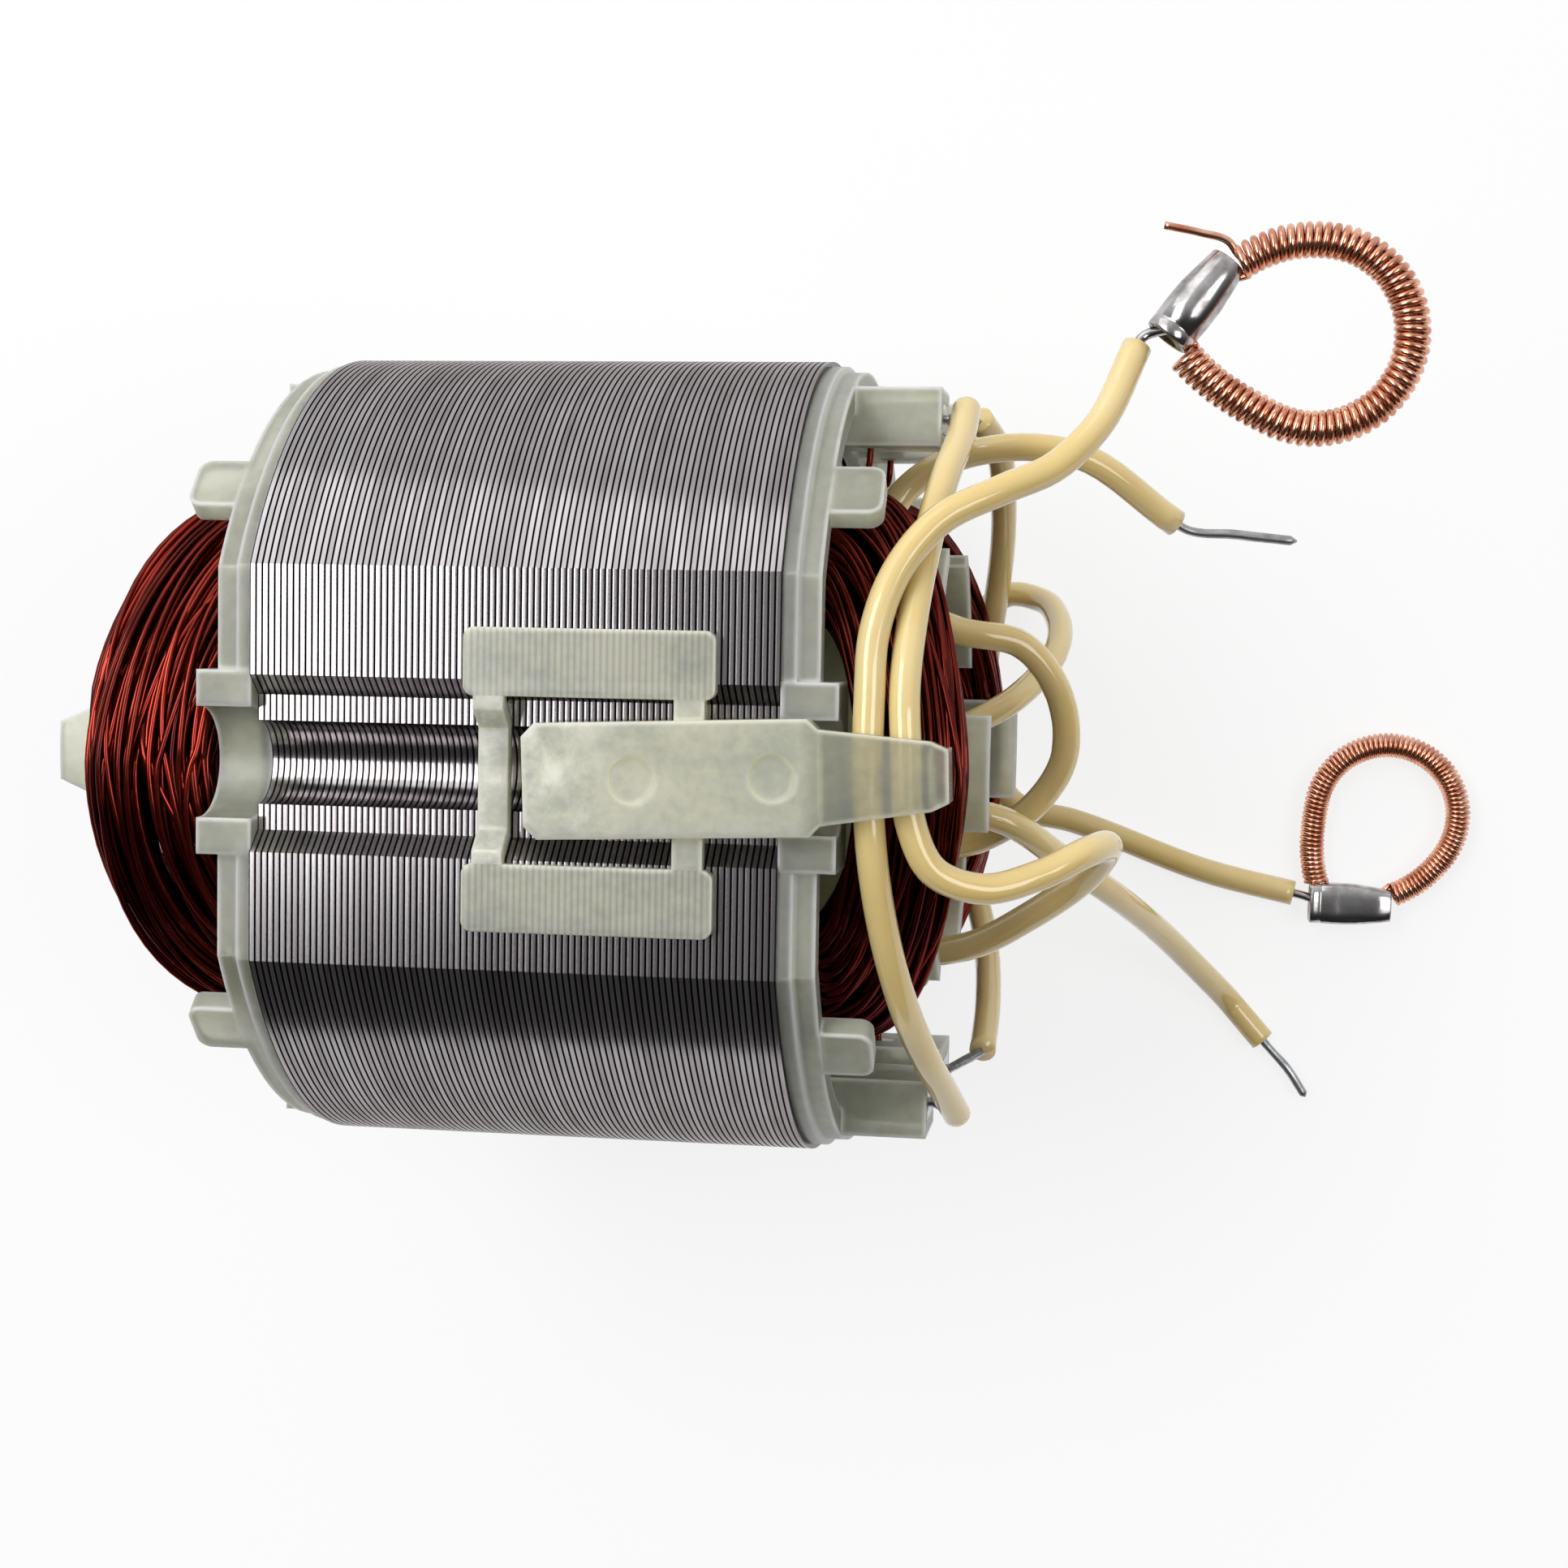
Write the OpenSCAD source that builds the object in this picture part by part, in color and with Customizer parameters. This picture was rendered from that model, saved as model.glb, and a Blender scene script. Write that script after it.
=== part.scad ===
// Wound two-pole stator of a universal motor: a lamination stack with two moulded
// end insulators, two saddle coils, a lead clip and four leads, two of them with
// coiled contact rings.
// Frame: X along the rotor axis towards the terminals, Z up through the upper pole,
// origin on the rotor axis at mid-stack. The stator lies on its lower flat.

/* [Lamination stack] */
// Thickness of one steel sheet
sheet_t = 0.5; // [0.35:0.05:0.65]
// Number of sheets in the stack
sheet_count = 83; // [70:1:96]
// Bore between the pole faces
bore_d = 38; // [36:0.5:39]
// Radial thickness of the pole shoes
shoe_t = 2.8; // [2:0.1:3]
// Radial depth of the slots, from the pole shoes to the yoke
slot_depth = 4.8; // [4.2:0.1:5.2]
// Thickness of the yoke at the round sides
side_yoke_t = 7.4; // [7:0.1:8.2]
// Thickness of the yoke under the flats
flat_yoke_t = 4.6; // [4.2:0.1:5.2]
// Distance from the rotor axis to the middle of each round side's circle
side_shift = 1.5; // [0.5:0.1:3]
// Width of a pole between its two slots
pole_w = 21; // [18:0.5:21.5]
// Angle that a pole face spans
pole_arc = 124; // [110:1:128]
// Width of the seam between two sheets
seam_w = 0.14; // [0.08:0.02:0.2]
// Depth of the seam between two sheets
seam_depth = 0.2; // [0.1:0.05:0.3]

/* [Screw channels] */
// Width of a channel at its mouth
channel_mouth_w = 13.8; // [13:0.2:15]
// Width of a channel at its floor
channel_floor_w = 10.6; // [9.6:0.2:11.6]
// Depth of the channel floor
channel_depth = 1.9; // [1.4:0.1:2.2]
// Diameter of the round screw groove in the floor
screw_groove_d = 6.6; // [5:0.2:7]

/* [Coils] */
// Gap between the first turn and the film on the pole's side
coil_side_gap = 0.35; // [0.2:0.05:0.6]
// Angle from the pole's middle to the last turn in a slot
coil_angle_out = 66; // [60:0.5:68]
// Reach of the coils past the stack at the plain end
plain_overhang = 15.4; // [14:0.2:18]
// Reach of the coils past the stack at the terminal end
terminal_overhang = 13.5; // [12:0.2:16]
// Distance from the stack to the first turn at mid-pole
first_turn = 5.6; // [5.2:0.1:7]
// Height that the end turns rise above the slots
coil_rise = 2.2; // [1:0.1:2.4]
// Ridges of wire that show across a coil
coil_ridges = 14; // [8:1:16]
// Depth of the furrow between two ridges
furrow = 0.35; // [0.2:0.05:0.5]
// Diameter of the enamelled wire
wire_d = 0.55; // [0.4:0.05:0.8]
// Gap between the end turns and the winding walls
coil_gap = 0.25; // [0.2:0.05:0.4]
// Thickness of the slot film
film_t = 0.25; // [0.15:0.05:0.3]
// Gap between the slot film and its neighbours
film_gap = 0.1; // [0.05:0.05:0.15]

/* [End insulators] */
// Thickness of the plate on the stack's end
plate_t = 1.2; // [0.8:0.1:1.6]
// Step of the plate inside the stack's outline
plate_inset = 0.4; // [0.2:0.1:0.8]
// Axial height of the rim, from the stack
rim_h = 2.9; // [2.2:0.1:3.6]
// Step of the rim inside the stack's outline
rim_inset = 0.9; // [0.8:0.1:1.4]
// Thickness of the rim
rim_t = 2; // [1.4:0.1:2]
// Axial length of the screw trough and its lugs
trough_len = 4.4; // [3.6:0.1:4.6]
// Inner diameter of the screw trough
trough_d = 8.7; // [8:0.1:9.4]
// Wall of the screw trough
trough_wall = 1.2; // [0.8:0.1:1.4]
// Width over the two lugs of a trough
lug_span = 14.4; // [13.4:0.2:15]
// Reach of the four locating tabs past the stack
tab_len = 6.9; // [6:0.1:9]
// Width of a locating tab
tab_w = 4.8; // [4:0.2:6]
// Thickness of a locating tab
tab_t = 1.8; // [1.4:0.1:2.2]
// Angle of the tabs from the pole's middle
tab_angle = 41; // [38:0.5:44]
// Rounding of a tab's corners
tab_round = 1.1; // [0.6:0.1:1.4]
// Thickness of the winding walls around the bore
former_t = 1.2; // [0.9:0.1:1.3]
// Gap between the bore and the winding walls
former_gap = 0.5; // [0.3:0.1:0.6]
// Angle that a winding wall spans
former_arc = 120; // [100:1:124]
// Reach of the winding walls past the stack
former_len = 10.8; // [9:0.2:12]
// Width of a tongue in the middle of a winding wall
tongue_w = 9.2; // [8:0.2:10]
// Clear slit on either side of a tongue
tongue_slit = 3; // [2:0.2:4]
// Reach of a tongue past the coil at the terminal end
terminal_tongue = 1.6; // [0.8:0.2:3]
// Reach of a tongue past the coil at the plain end
plain_tongue = 4.9; // [2.4:0.1:6]
// Width of the tapered tip at the plain end
tongue_tip_w = 4.8; // [3.6:0.2:6]
// Reach of the side lugs at the plain end
side_lug_len = 3.8; // [3.4:0.2:6]

/* [Terminals] */
// Reach of a terminal housing past the stack
housing_len = 10; // [8.6:0.2:12]
// Size of a housing across the stack
housing_w = 4.8; // [4.4:0.1:5.2]
// Height of a housing
housing_h = 7.6; // [6.6:0.2:8]
// Distance of a housing's middle inside the stack's round side
housing_inset = 5.4; // [5:0.1:5.6]
// Distance of a housing's middle from the rotor axis, up or down
housing_z = 8; // [7.4:0.1:8.6]
// Wall of a housing
housing_wall = 1.1; // [0.8:0.1:1.2]
// Sheet thickness of a terminal
terminal_t = 0.5; // [0.3:0.05:0.6]
// Gap between a terminal and its housing
terminal_gap = 0.1; // [0.05:0.05:0.2]

/* [Lead clip] */
// Thickness of the clip's plates
clip_t = 1.3; // [1:0.1:1.6]
// Length of the clip's plates
clip_plate_len = 19.4; // [17:0.2:22]
// Width of the clip's plates
clip_plate_w = 5.2; // [4.4:0.2:5.6]
// Gap between the two plates
clip_plate_gap = 12.8; // [12:0.2:13]
// Place of the plates' plain end along the stack
clip_start = -3.4; // [-6:0.2:-2]
// Sideways shift of the clip in its channel
clip_shift = -0.7; // [-0.8:0.1:0.2]
// Width of the clip's cross bars
clip_bar_w = 2.3; // [1.8:0.1:3]
// Gap between the cross bar and the channel
clip_gap = 0.15; // [0.1:0.05:0.3]
// Width of the tongue over the channel
clip_tongue_w = 8.8; // [8:0.2:9.2]
// Gap from the cross bar to the tongue
clip_tongue_gap = 2.6; // [2:0.2:4]
// Thickness of the tongue
clip_tongue_t = 2.2; // [1.8:0.1:2.4]
// Turn of the tongue and strap about the tongue's plain end
clip_turn = 2.2; // [0:0.1:2.5]
// Rounding of the plates' corners
clip_round = 0.8; // [0.4:0.1:1.2]
// Width of the strap where it leaves the tongue
strap_root_w = 7.2; // [6.4:0.2:8]
// Width of the strap at its hook
strap_w = 5.2; // [4.6:0.2:6]
// Thickness of the strap
strap_t = 1.4; // [1:0.1:1.8]
// Gap between the strap and the leads
strap_gap = 0.2; // [0.1:0.05:0.4]

/* [Leads] */
// Outer diameter of a lead
lead_d = 2.4; // [2:0.1:2.6]
// Diameter of the tinned conductor
conductor_d = 0.85; // [0.7:0.05:1.2]

/* [Contact rings] */
// Radius of the upper contact ring, to the middle of its coil
upper_ring_r = 7.3; // [6.5:0.1:8]
// Outer diameter of the upper ring's coil
upper_ring_coil_d = 2.9; // [2.4:0.1:3.2]
// Radius of the lower contact ring, to the middle of its coil
lower_ring_r = 6.7; // [6:0.1:7.2]
// Outer diameter of the lower ring's coil
lower_ring_coil_d = 2.4; // [2:0.1:2.4]
// Turns of wire that show on a ring
ring_turns = 42; // [24:1:50]
// Diameter of the crimped ferrules
ferrule_d = 4; // [3.4:0.1:4]
// Length of the crimped ferrules
ferrule_len = 7.7; // [6.5:0.1:8.5]

/* [Hidden] */
$fn = 96;
slop = 0.01;

// Stack
stack_len = sheet_t * sheet_count;
end_x = stack_len / 2;
bore_r = bore_d / 2;
shoe_r = bore_r + shoe_t;
slot_r = shoe_r + slot_depth;
stack_w = 2 * (slot_r + side_yoke_t);
flat_z = slot_r + flat_yoke_t;
stack_h = 2 * flat_z;
side_r = stack_w / 2 + side_shift;
floor_z = flat_z - channel_depth;

// Coils
coil_in_r = shoe_r + film_gap + film_t + 2 * film_gap;
coil_out_r = slot_r - film_gap - film_t - 2 * film_gap;
coil_angle_in = asin((pole_w / 2 + film_gap + film_t + coil_side_gap) / coil_in_r);
former_in_r = bore_r + former_gap;
former_out_r = former_in_r + former_t;
end_turn_in_r = former_out_r + coil_gap;
end_turn_out_r = coil_out_r + coil_rise;
turn_stations = 17;
first_square = 1.5;
last_square = 1.7;
film_reach = plate_t + 0.4;

// Screw trough
trough_r = trough_d / 2;
trough_z = flat_z - screw_groove_d / 2 - channel_depth + trough_r;
trough_bottom = trough_z - trough_r - trough_wall;
lug_top = flat_z - 0.2;

// Terminals
housing_y = stack_w / 2 - housing_inset;
tail_x = end_x + housing_len;
cavity_x = end_x + rim_h + terminal_gap;
tail_slot_len = 4 * wire_d;
cavity_w = housing_w - 2 * housing_wall;
cavity_h = housing_h - 2 * housing_wall;

// Clip
lead_drop = 0.7;
strap_z = flat_z - lead_drop + lead_d / 2 + strap_gap;
tongue_z = lug_top + clip_gap;
strap_start = end_x + rim_h + 0.4;
hook_x = 32.4;
hook_t = 1.3;
mark_d = 3.5;
mark_depth = 0.15;
mark_x = 9.9;
tongue_cut = 1;
hook_cut = 0.6;

// Routes of the leads, from each terminal to the lead's far end
front_brush_route = [[33, -29.5, 8], [32.3, -27, 12], [31.2, -23.2, 18], [29.8, -18, 23.8],
    [28.6, -12, 27.8], [27.8, -6, 30], [27.4, 0, 30.5], [27.4, 6, 30.5], [27.6, 11, 29.8],
    [29, 15.5, 28.5], [32, 19.5, 26.8], [36.5, 22, 24.5], [40.5, 24, 22], [43.4, 27, 20],
    [46.4, 33.7, 16.4]];
rear_supply_route = [[32.5, 29.5, 8], [32.4, 27.2, 11.5], [31.7, 23.6, 17.3], [30.9, 18.2, 23.5],
    [30.3, 12.5, 27.6], [30, 6.5, 30], [30.3, 1.5, 30.5], [30.7, -3.2, 30.5], [32.4, -6.8, 29.8],
    [36, -8.2, 28.3], [40, -7.3, 26.4], [43.6, -5.6, 24], [45.2, -5.4, 20], [43.6, -8.2, 15.6],
    [39, -12, 12], [33.5, -15.2, 8.8], [29, -16, 6], [26, -14.5, 2.5], [26, -11, -1],
    [29, -8.6, -3.4], [34, -7.1, -3.6], [38.4, -4, -2], [41, 0.4, 0], [40.6, 5.6, 1.6],
    [37.4, 10, 3.4], [31.6, 11.3, 4.7], [26.5, 14, 4], [25.2, 18, 2.4], [26, 22, 1],
    [29.5, 25.2, 0.6], [35, 26.8, 1], [40.5, 26.6, 0.5], [50, 20.8, -4]];
rear_brush_route = [[32.5, 30, -8], [33.8, 28, -11.5], [34.2, 23.5, -18], [33.8, 18, -23.6],
    [33, 13, -27.2], [32.2, 8, -29.7], [32, 3, -30], [32.6, -2, -30], [35.5, -6, -30],
    [41, -7.4, -30], [55, -12.2, -30], [62.5, -13.8, -29.6]];
front_supply_route = [[34, -27, -9], [34, -23.4, -15.5], [33, -18, -23.6], [31, -12, -27.8],
    [29.4, -6.5, -29.8], [28.8, 0, -30], [29, 6.5, -30], [30.6, 11.5, -30], [34, 14.6, -30],
    [37.4, 14.2, -27.6], [39.4, 12.2, -22.6], [39.3, 9, -16.6], [36, 5, -10.8], [31, 2, -6.8],
    [27.2, -0.6, -3.4], [27, -2.8, 0.4], [30.6, -3.8, 2.8], [36, -5, 2.6], [41, -8.6, -2],
    [54, -21.6, -26.6], [57, -25, -30], [60, -28.4, -30]];

// Contact rings and ferrules at the ends of the brush leads
upper_ferrule_base = [48.7, 34.4, 16.2];
upper_ferrule_way = unit([4.7, 6.1, -0.6]);
lower_ferrule_base = [64, -14.6, -29.2];
lower_ferrule_way = unit([7.6, -0.1, 0]);
upper_ring_centre = [60.3, 34.8, 15.6];
lower_ring_centre = [71.1, -5.9, -29.6];
ferrule_tip = 0.75;
ferrule_grip = 1.2;
ferrule_lip = 0.8;
flare_arc = 55;
ring_furrow = 0.3;
ring_wire_d = 0.6;
upper_ring_tail = [[54.9, 40.3, 15.8], [54.1, 40.9, 16], [53.3, 41.9, 16.2], [51.1, 42.6, 16.2],
    [48.3, 43.2, 16.2]];

// Stripped ends of the supply leads
rear_strip_route = concat(strip_start(rear_supply_route), [[55.2, 19.9, -4.6], [60.4, 19.4, -4.8]]);
front_strip_route = concat(strip_start(front_supply_route), [[62.4, -31, -30], [64.3, -33.8, -30]]);

// Where the terminals' tails meet the leads
function lead_start(k) = k == 0 ? rear_supply_route[0]
                       : k == 1 ? front_brush_route[0]
                       : k == 2 ? rear_brush_route[0]
                       : front_supply_route[0];

// A stripped end leaves its lead straight
function strip_start(route) = [last(route), last(route) + conductor_d * end_way(route)];

// Vectors and frames along a route
function unit(v) = v / norm(v);
function last(list) = list[len(list) - 1];
function end_way(route) = unit(last(route) - route[len(route) - 2]);
function way_at(route, i) =
    i == 0 ? unit(route[1] - route[0])
  : i == len(route) - 1 ? end_way(route)
  : unit(unit(route[i + 1] - route[i]) + unit(route[i] - route[i - 1]));
function across(way, old) = unit(old - (old * way) * way);
function side_at(route, i) =
    i == 0 ? across(way_at(route, 0), [0.3, 0.2, 1])
  : across(way_at(route, i), side_at(route, i - 1));
function ring_at(route, i, r, sides) =
    let (way = way_at(route, i), a = side_at(route, i), b = cross(way, a))
    [for (k = [0:sides - 1]) route[i] + r * (cos(360 * k / sides) * a + sin(360 * k / sides) * b)];

// Faces of a tube of rings, closed at both ends or joined to itself
function skin(rings, sides) =
    [for (i = [0:rings - 2], k = [0:sides - 1], half = [0, 1])
        let (a = i * sides + k, b = i * sides + (k + 1) % sides)
        half == 0 ? [a, b, b + sides] : [a, b + sides, a + sides]];
function caps(rings, sides) =
    [[for (k = [sides - 1:-1:0]) k], [for (k = [0:sides - 1]) (rings - 1) * sides + k]];
function loop_skin(rings, sides) =
    [for (i = [0:rings - 1], k = [0:sides - 1], half = [0, 1])
        let (n = ((i + 1) % rings) * sides, a = i * sides, l = (k + 1) % sides)
        half == 0 ? [a + k, a + l, n + l] : [a + k, n + l, n + k]];

// A tube of one radius, or of one radius for each ring, along a route
module tube(route, radii, sides) {
    rings = [for (i = [0:len(route) - 1]) ring_at(route, i, radii[i % len(radii)], sides)];
    points = [for (ring = rings) each ring];
    faces = concat(skin(len(route), sides), caps(len(route), sides));
    polyhedron(points, [for (f = faces) [for (k = [len(f) - 1:-1:0]) f[k]]]);
}

// A section across the rotor axis carried along it
module along_x(x0, length) {
    translate([x0, 0, 0])
        rotate([90, 0, 90])
            linear_extrude(length)
                children();
}

// Upper and lower copies of a section or solid
module both_poles() {
    children();
    rotate([180, 0, 0])
        children();
}

module stack_outline(inset) {
    intersection() {
        translate([-side_shift, 0])
            circle(r = side_r - inset);
        translate([side_shift, 0])
            circle(r = side_r - inset);
        square([2 * side_r, stack_h - 2 * inset], center = true);
    }
}

// The part of a ring that lies within an angle of the upper pole's middle
module ring_sector(r_in, r_out, from_angle, to_angle) {
    far = 2 * r_out;
    mid = (from_angle + to_angle) / 2;
    intersection() {
        difference() {
            circle(r = r_out);
            circle(r = r_in);
        }
        polygon([[0, 0], far * [sin(from_angle), cos(from_angle)],
                 far * [sin(mid), cos(mid)] * 1.4, far * [sin(to_angle), cos(to_angle)]]);
    }
}

module slots_and_bore() {
    difference() {
        circle(r = slot_r);
        square([pole_w, 2 * slot_r], center = true);
        for (turn = [0, 180])
            rotate(turn)
                ring_sector(bore_r - slop, shoe_r, -pole_arc / 2, pole_arc / 2);
    }
    circle(r = bore_r);
}

module screw_channel() {
    for (turn = [0, 180])
        rotate(turn) {
            polygon([[-channel_mouth_w / 2, flat_z + slop], [-channel_mouth_w / 2, flat_z],
                     [-channel_floor_w / 2, floor_z], [channel_floor_w / 2, floor_z],
                     [channel_mouth_w / 2, flat_z], [channel_mouth_w / 2, flat_z + slop]]);
            translate([0, floor_z])
                circle(d = screw_groove_d);
        }
}

module sheet_profile(inset) {
    difference() {
        stack_outline(inset);
        slots_and_bore();
        screw_channel();
    }
}

module lamination_stack() {
    color([0.62, 0.62, 0.64])
        difference() {
            along_x(-end_x, stack_len)
                sheet_profile(0);
            for (k = [1:sheet_count - 1])
                along_x(-end_x + k * sheet_t - seam_w / 2, seam_w)
                    difference() {
                        square([2 * stack_w, 2 * stack_h], center = true);
                        stack_outline(seam_depth);
                    }
        }
}

// Section of the half-round trough that lets a screw pass, with a lug on either side
module trough_section() {
    difference() {
        translate([-lug_span / 2, trough_bottom])
            square([lug_span, lug_top - trough_bottom]);
        translate([0, trough_z])
            circle(r = trough_r);
        translate([-trough_r, trough_z])
            square([2 * trough_r, flat_z]);
    }
}

// A flat plate with round corners
module rounded_plate(length, width, thickness, r) {
    translate([r, 0, 0])
        cube([length - 2 * r, width, thickness]);
    translate([0, r, 0])
        cube([length, width - 2 * r, thickness]);
    for (x = [r, length - r], y = [r, width - r])
        translate([x, y, 0])
            cylinder(h = thickness, r = r, $fn = 24);
}

// A rounded flat tab that stands on the rim, square to the radius
module locating_tab() {
    tab_r = side_r - side_shift * sin(tab_angle) - rim_inset - 0.2;
    reach = tab_len - plate_t;
    rotate([-tab_angle, 0, 0])
        translate([end_x + plate_t, -tab_w / 2, tab_r - tab_t]) {
            cube([reach - tab_round, tab_w, tab_t]);
            translate([0, tab_round, 0])
                cube([reach, tab_w - 2 * tab_round, tab_t]);
            for (y = [tab_round, tab_w - tab_round])
                translate([reach - tab_round, y, 0])
                    cylinder(h = tab_t, r = tab_round);
        }
}

// The wall that keeps the end turns off the rotor, with a tongue in its middle
module winding_wall(tongue_len, tip_w, tip_len) {
    wall_x = end_x + plate_t;
    base = tongue_w / 2;
    slit = base + tongue_slit;
    far = former_out_r;
    intersection() {
        along_x(wall_x - slop, tongue_len)
            ring_sector(former_in_r, former_out_r, -former_arc / 2, former_arc / 2);
        linear_extrude(2 * former_out_r)
            union() {
                translate([wall_x, -far])
                    square([former_len - plate_t, far - slit]);
                translate([wall_x, slit])
                    square([former_len - plate_t, far - slit]);
                polygon([[wall_x - slop, -slit], [wall_x + trough_len, -slit],
                         [wall_x + trough_len, -base], [end_x + tongue_len - tip_len, -base],
                         [end_x + tongue_len, -tip_w / 2], [end_x + tongue_len, tip_w / 2],
                         [end_x + tongue_len - tip_len, base], [wall_x + trough_len, base],
                         [wall_x + trough_len, slit], [wall_x - slop, slit]]);
            }
    }
}

// What both end insulators share: plate, rim, troughs, tabs and winding walls
module end_frame(tongue_len, tip_w, tip_len) {
    difference() {
        along_x(end_x, plate_t)
            stack_outline(plate_inset);
        along_x(end_x - slop, plate_t + 2 * slop) {
            slots_and_bore();
            circle(r = former_in_r);
        }
        both_poles()
            along_x(end_x - slop, plate_t + 2 * slop)
                translate([-lug_span / 2, trough_bottom])
                    square([lug_span, flat_z]);
    }
    difference() {
        along_x(end_x + plate_t, rim_h - plate_t)
            difference() {
                stack_outline(rim_inset);
                stack_outline(rim_inset + rim_t);
            }
        both_poles()
            along_x(end_x, rim_h + slop)
                translate([-lug_span / 2, trough_bottom])
                    square([lug_span, flat_z]);
    }
    both_poles() {
        along_x(end_x, trough_len)
            trough_section();
        locating_tab();
        mirror([0, 1, 0])
            locating_tab();
        winding_wall(tongue_len, tip_w, tip_len);
    }
}

module plain_end_insulator() {
    tongue_len = plain_overhang + plain_tongue;
    color([0.83, 0.86, 0.8])
        mirror([1, 0, 0]) {
            end_frame(tongue_len, tongue_tip_w, plain_tongue);
            for (y = [-1, 1], z = [-1, 1])
                translate([end_x + plate_t - slop, y * housing_y, z * housing_z])
                    translate([0, -housing_w / 2, -housing_h / 2])
                        cube([side_lug_len - plate_t, housing_w, housing_h]);
        }
}

module terminal_housing(y, z) {
    translate([end_x + plate_t - slop, y * housing_y, z * housing_z])
        difference() {
            translate([0, -housing_w / 2, -housing_h / 2])
                cube([housing_len - plate_t, housing_w, housing_h]);
            translate([cavity_x - end_x - plate_t, -cavity_w / 2, -cavity_h / 2])
                cube([housing_len, cavity_w, cavity_h]);
            translate([cavity_x - end_x - plate_t, y > 0 ? -housing_w : 0, -wire_d])
                cube([tail_slot_len, housing_w, 2 * wire_d]);
        }
}

module terminal_end_insulator() {
    tongue_len = terminal_overhang + terminal_tongue;
    color([0.83, 0.86, 0.8]) {
        end_frame(tongue_len, tongue_w, terminal_tongue);
        for (y = [-1, 1], z = [-1, 1])
            terminal_housing(y, z);
    }
}

// One point of a coil: s runs across its band of turns, depth from inside to outside,
// turn from one slot over the end to the other slot
function coil_point(s, depth, turn, overhang, way) =
    let (square = first_square + s * (last_square - first_square),
         c = pow(max(cos(turn), 0), 2 / square),
         n = sign(sin(turn)) * pow(abs(sin(turn)), 2 / square),
         reach = first_turn + s * (overhang - first_turn),
         angle = n * (coil_angle_in + s * (coil_angle_out - coil_angle_in)),
         low = coil_in_r + c * (end_turn_in_r - coil_in_r),
         high = coil_out_r + c * (end_turn_out_r - coil_out_r),
         r = low + depth * (high - low))
    [way * (end_x + film_reach + c * (reach - film_reach)), r * sin(angle), r * cos(angle)];

// Section of a coil: rounded ridges of wire along its outside and its last turn
function coil_section() =
    let (step = 1 / coil_ridges, dip = furrow / (coil_out_r - coil_in_r), layers = 4)
    concat(
        [for (k = [0:coil_ridges - 1], half = [0, 1])
            half == 0 ? [k * step + 0.1 * step, 1 - dip] : [(k + 0.5) * step, 1]],
        [for (k = [0:layers - 1], half = [0, 1])
            half == 0 ? [1 - dip * 0.3, 1 - dip - (k + 0.05) * (1 - dip) / layers]
                      : [1, 1 - dip - (k + 0.5) * (1 - dip) / layers]],
        [for (k = [coil_ridges / 2:-1:0]) [0.96 * k / (coil_ridges / 2) + 0.02, 0]],
        [for (k = [1:3]) [0, k * (1 - dip) / 4]]);

module saddle_coil() {
    section = coil_section();
    turns = [for (k = [0:turn_stations - 1]) 90 - 180 * k / (turn_stations - 1)];
    rings = concat(
        [for (t = turns) [for (p = section) coil_point(p[0], p[1], t, terminal_overhang, 1)]],
        [for (k = [turn_stations - 1:-1:0])
            [for (p = section) coil_point(p[0], p[1], turns[k], plain_overhang, -1)]]);
    polyhedron([for (ring = rings) each ring], loop_skin(2 * turn_stations, len(section)));
}

module upper_coil() {
    color([0.45, 0.1, 0.07])
        saddle_coil();
}

module lower_coil() {
    color([0.45, 0.1, 0.07])
        rotate([180, 0, 0])
            saddle_coil();
}

// The two wire ends of a coil, each from its slot to its terminal
module coil_tails() {
    tail_r = coil_out_r + wire_d / 2 + film_gap;
    tail_angle = coil_angle_out - (coil_angle_out - coil_angle_in) / coil_ridges / 2;
    start = [end_x + film_reach + wire_d / 2, tail_r * sin(tail_angle), tail_r * cos(tail_angle)];
    entry = [cavity_x + tail_slot_len / 2, housing_y - cavity_w / 2 + terminal_gap + terminal_t, housing_z];
    route = [start, [start[0] + wire_d, start[1] + 0.2, (start[2] + housing_z) / 2 + 0.6],
             [entry[0] - wire_d, start[1] + 0.3, housing_z + 0.4],
             [entry[0] - 0.2, entry[1] - 2 * wire_d, housing_z], entry];
    for (side = [0, 1])
        mirror([0, side, 0])
            tube(route, [wire_d / 2], 6);
}

module upper_coil_tails() {
    color([0.35, 0.08, 0.06])
        coil_tails();
}

module lower_coil_tails() {
    color([0.35, 0.08, 0.06])
        rotate([180, 0, 0])
            coil_tails();
}

// Film that lines one slot: along the yoke, down the pole's side and along its shoe
module slot_film_section() {
    out_r = slot_r - film_gap;
    in_r = shoe_r + film_gap;
    side_y = pole_w / 2 + film_gap;
    inner_z = sqrt(pow(in_r, 2) - pow(side_y, 2));
    outer_z = sqrt(pow(out_r, 2) - pow(side_y + film_t, 2));
    side_angle = asin(side_y / out_r);
    ring_sector(out_r - film_t, out_r, side_angle + 0.6, coil_angle_out + 4);
    ring_sector(in_r, in_r + film_t, asin((side_y + slop) / in_r), pole_arc / 2);
    translate([side_y, inner_z])
        square([film_t, outer_z - inner_z]);
}

module slot_film(mirrored, lower) {
    color([0.75, 0.72, 0.62])
        rotate([lower ? 180 : 0, 0, 0])
            mirror([0, mirrored ? 1 : 0, 0])
                along_x(-end_x - film_reach, stack_len + 2 * film_reach)
                    slot_film_section();
}

module rear_upper_slot_film() {
    slot_film(false, false);
}

module front_upper_slot_film() {
    slot_film(true, false);
}

module rear_lower_slot_film() {
    slot_film(true, true);
}

module front_lower_slot_film() {
    slot_film(false, true);
}

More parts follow.
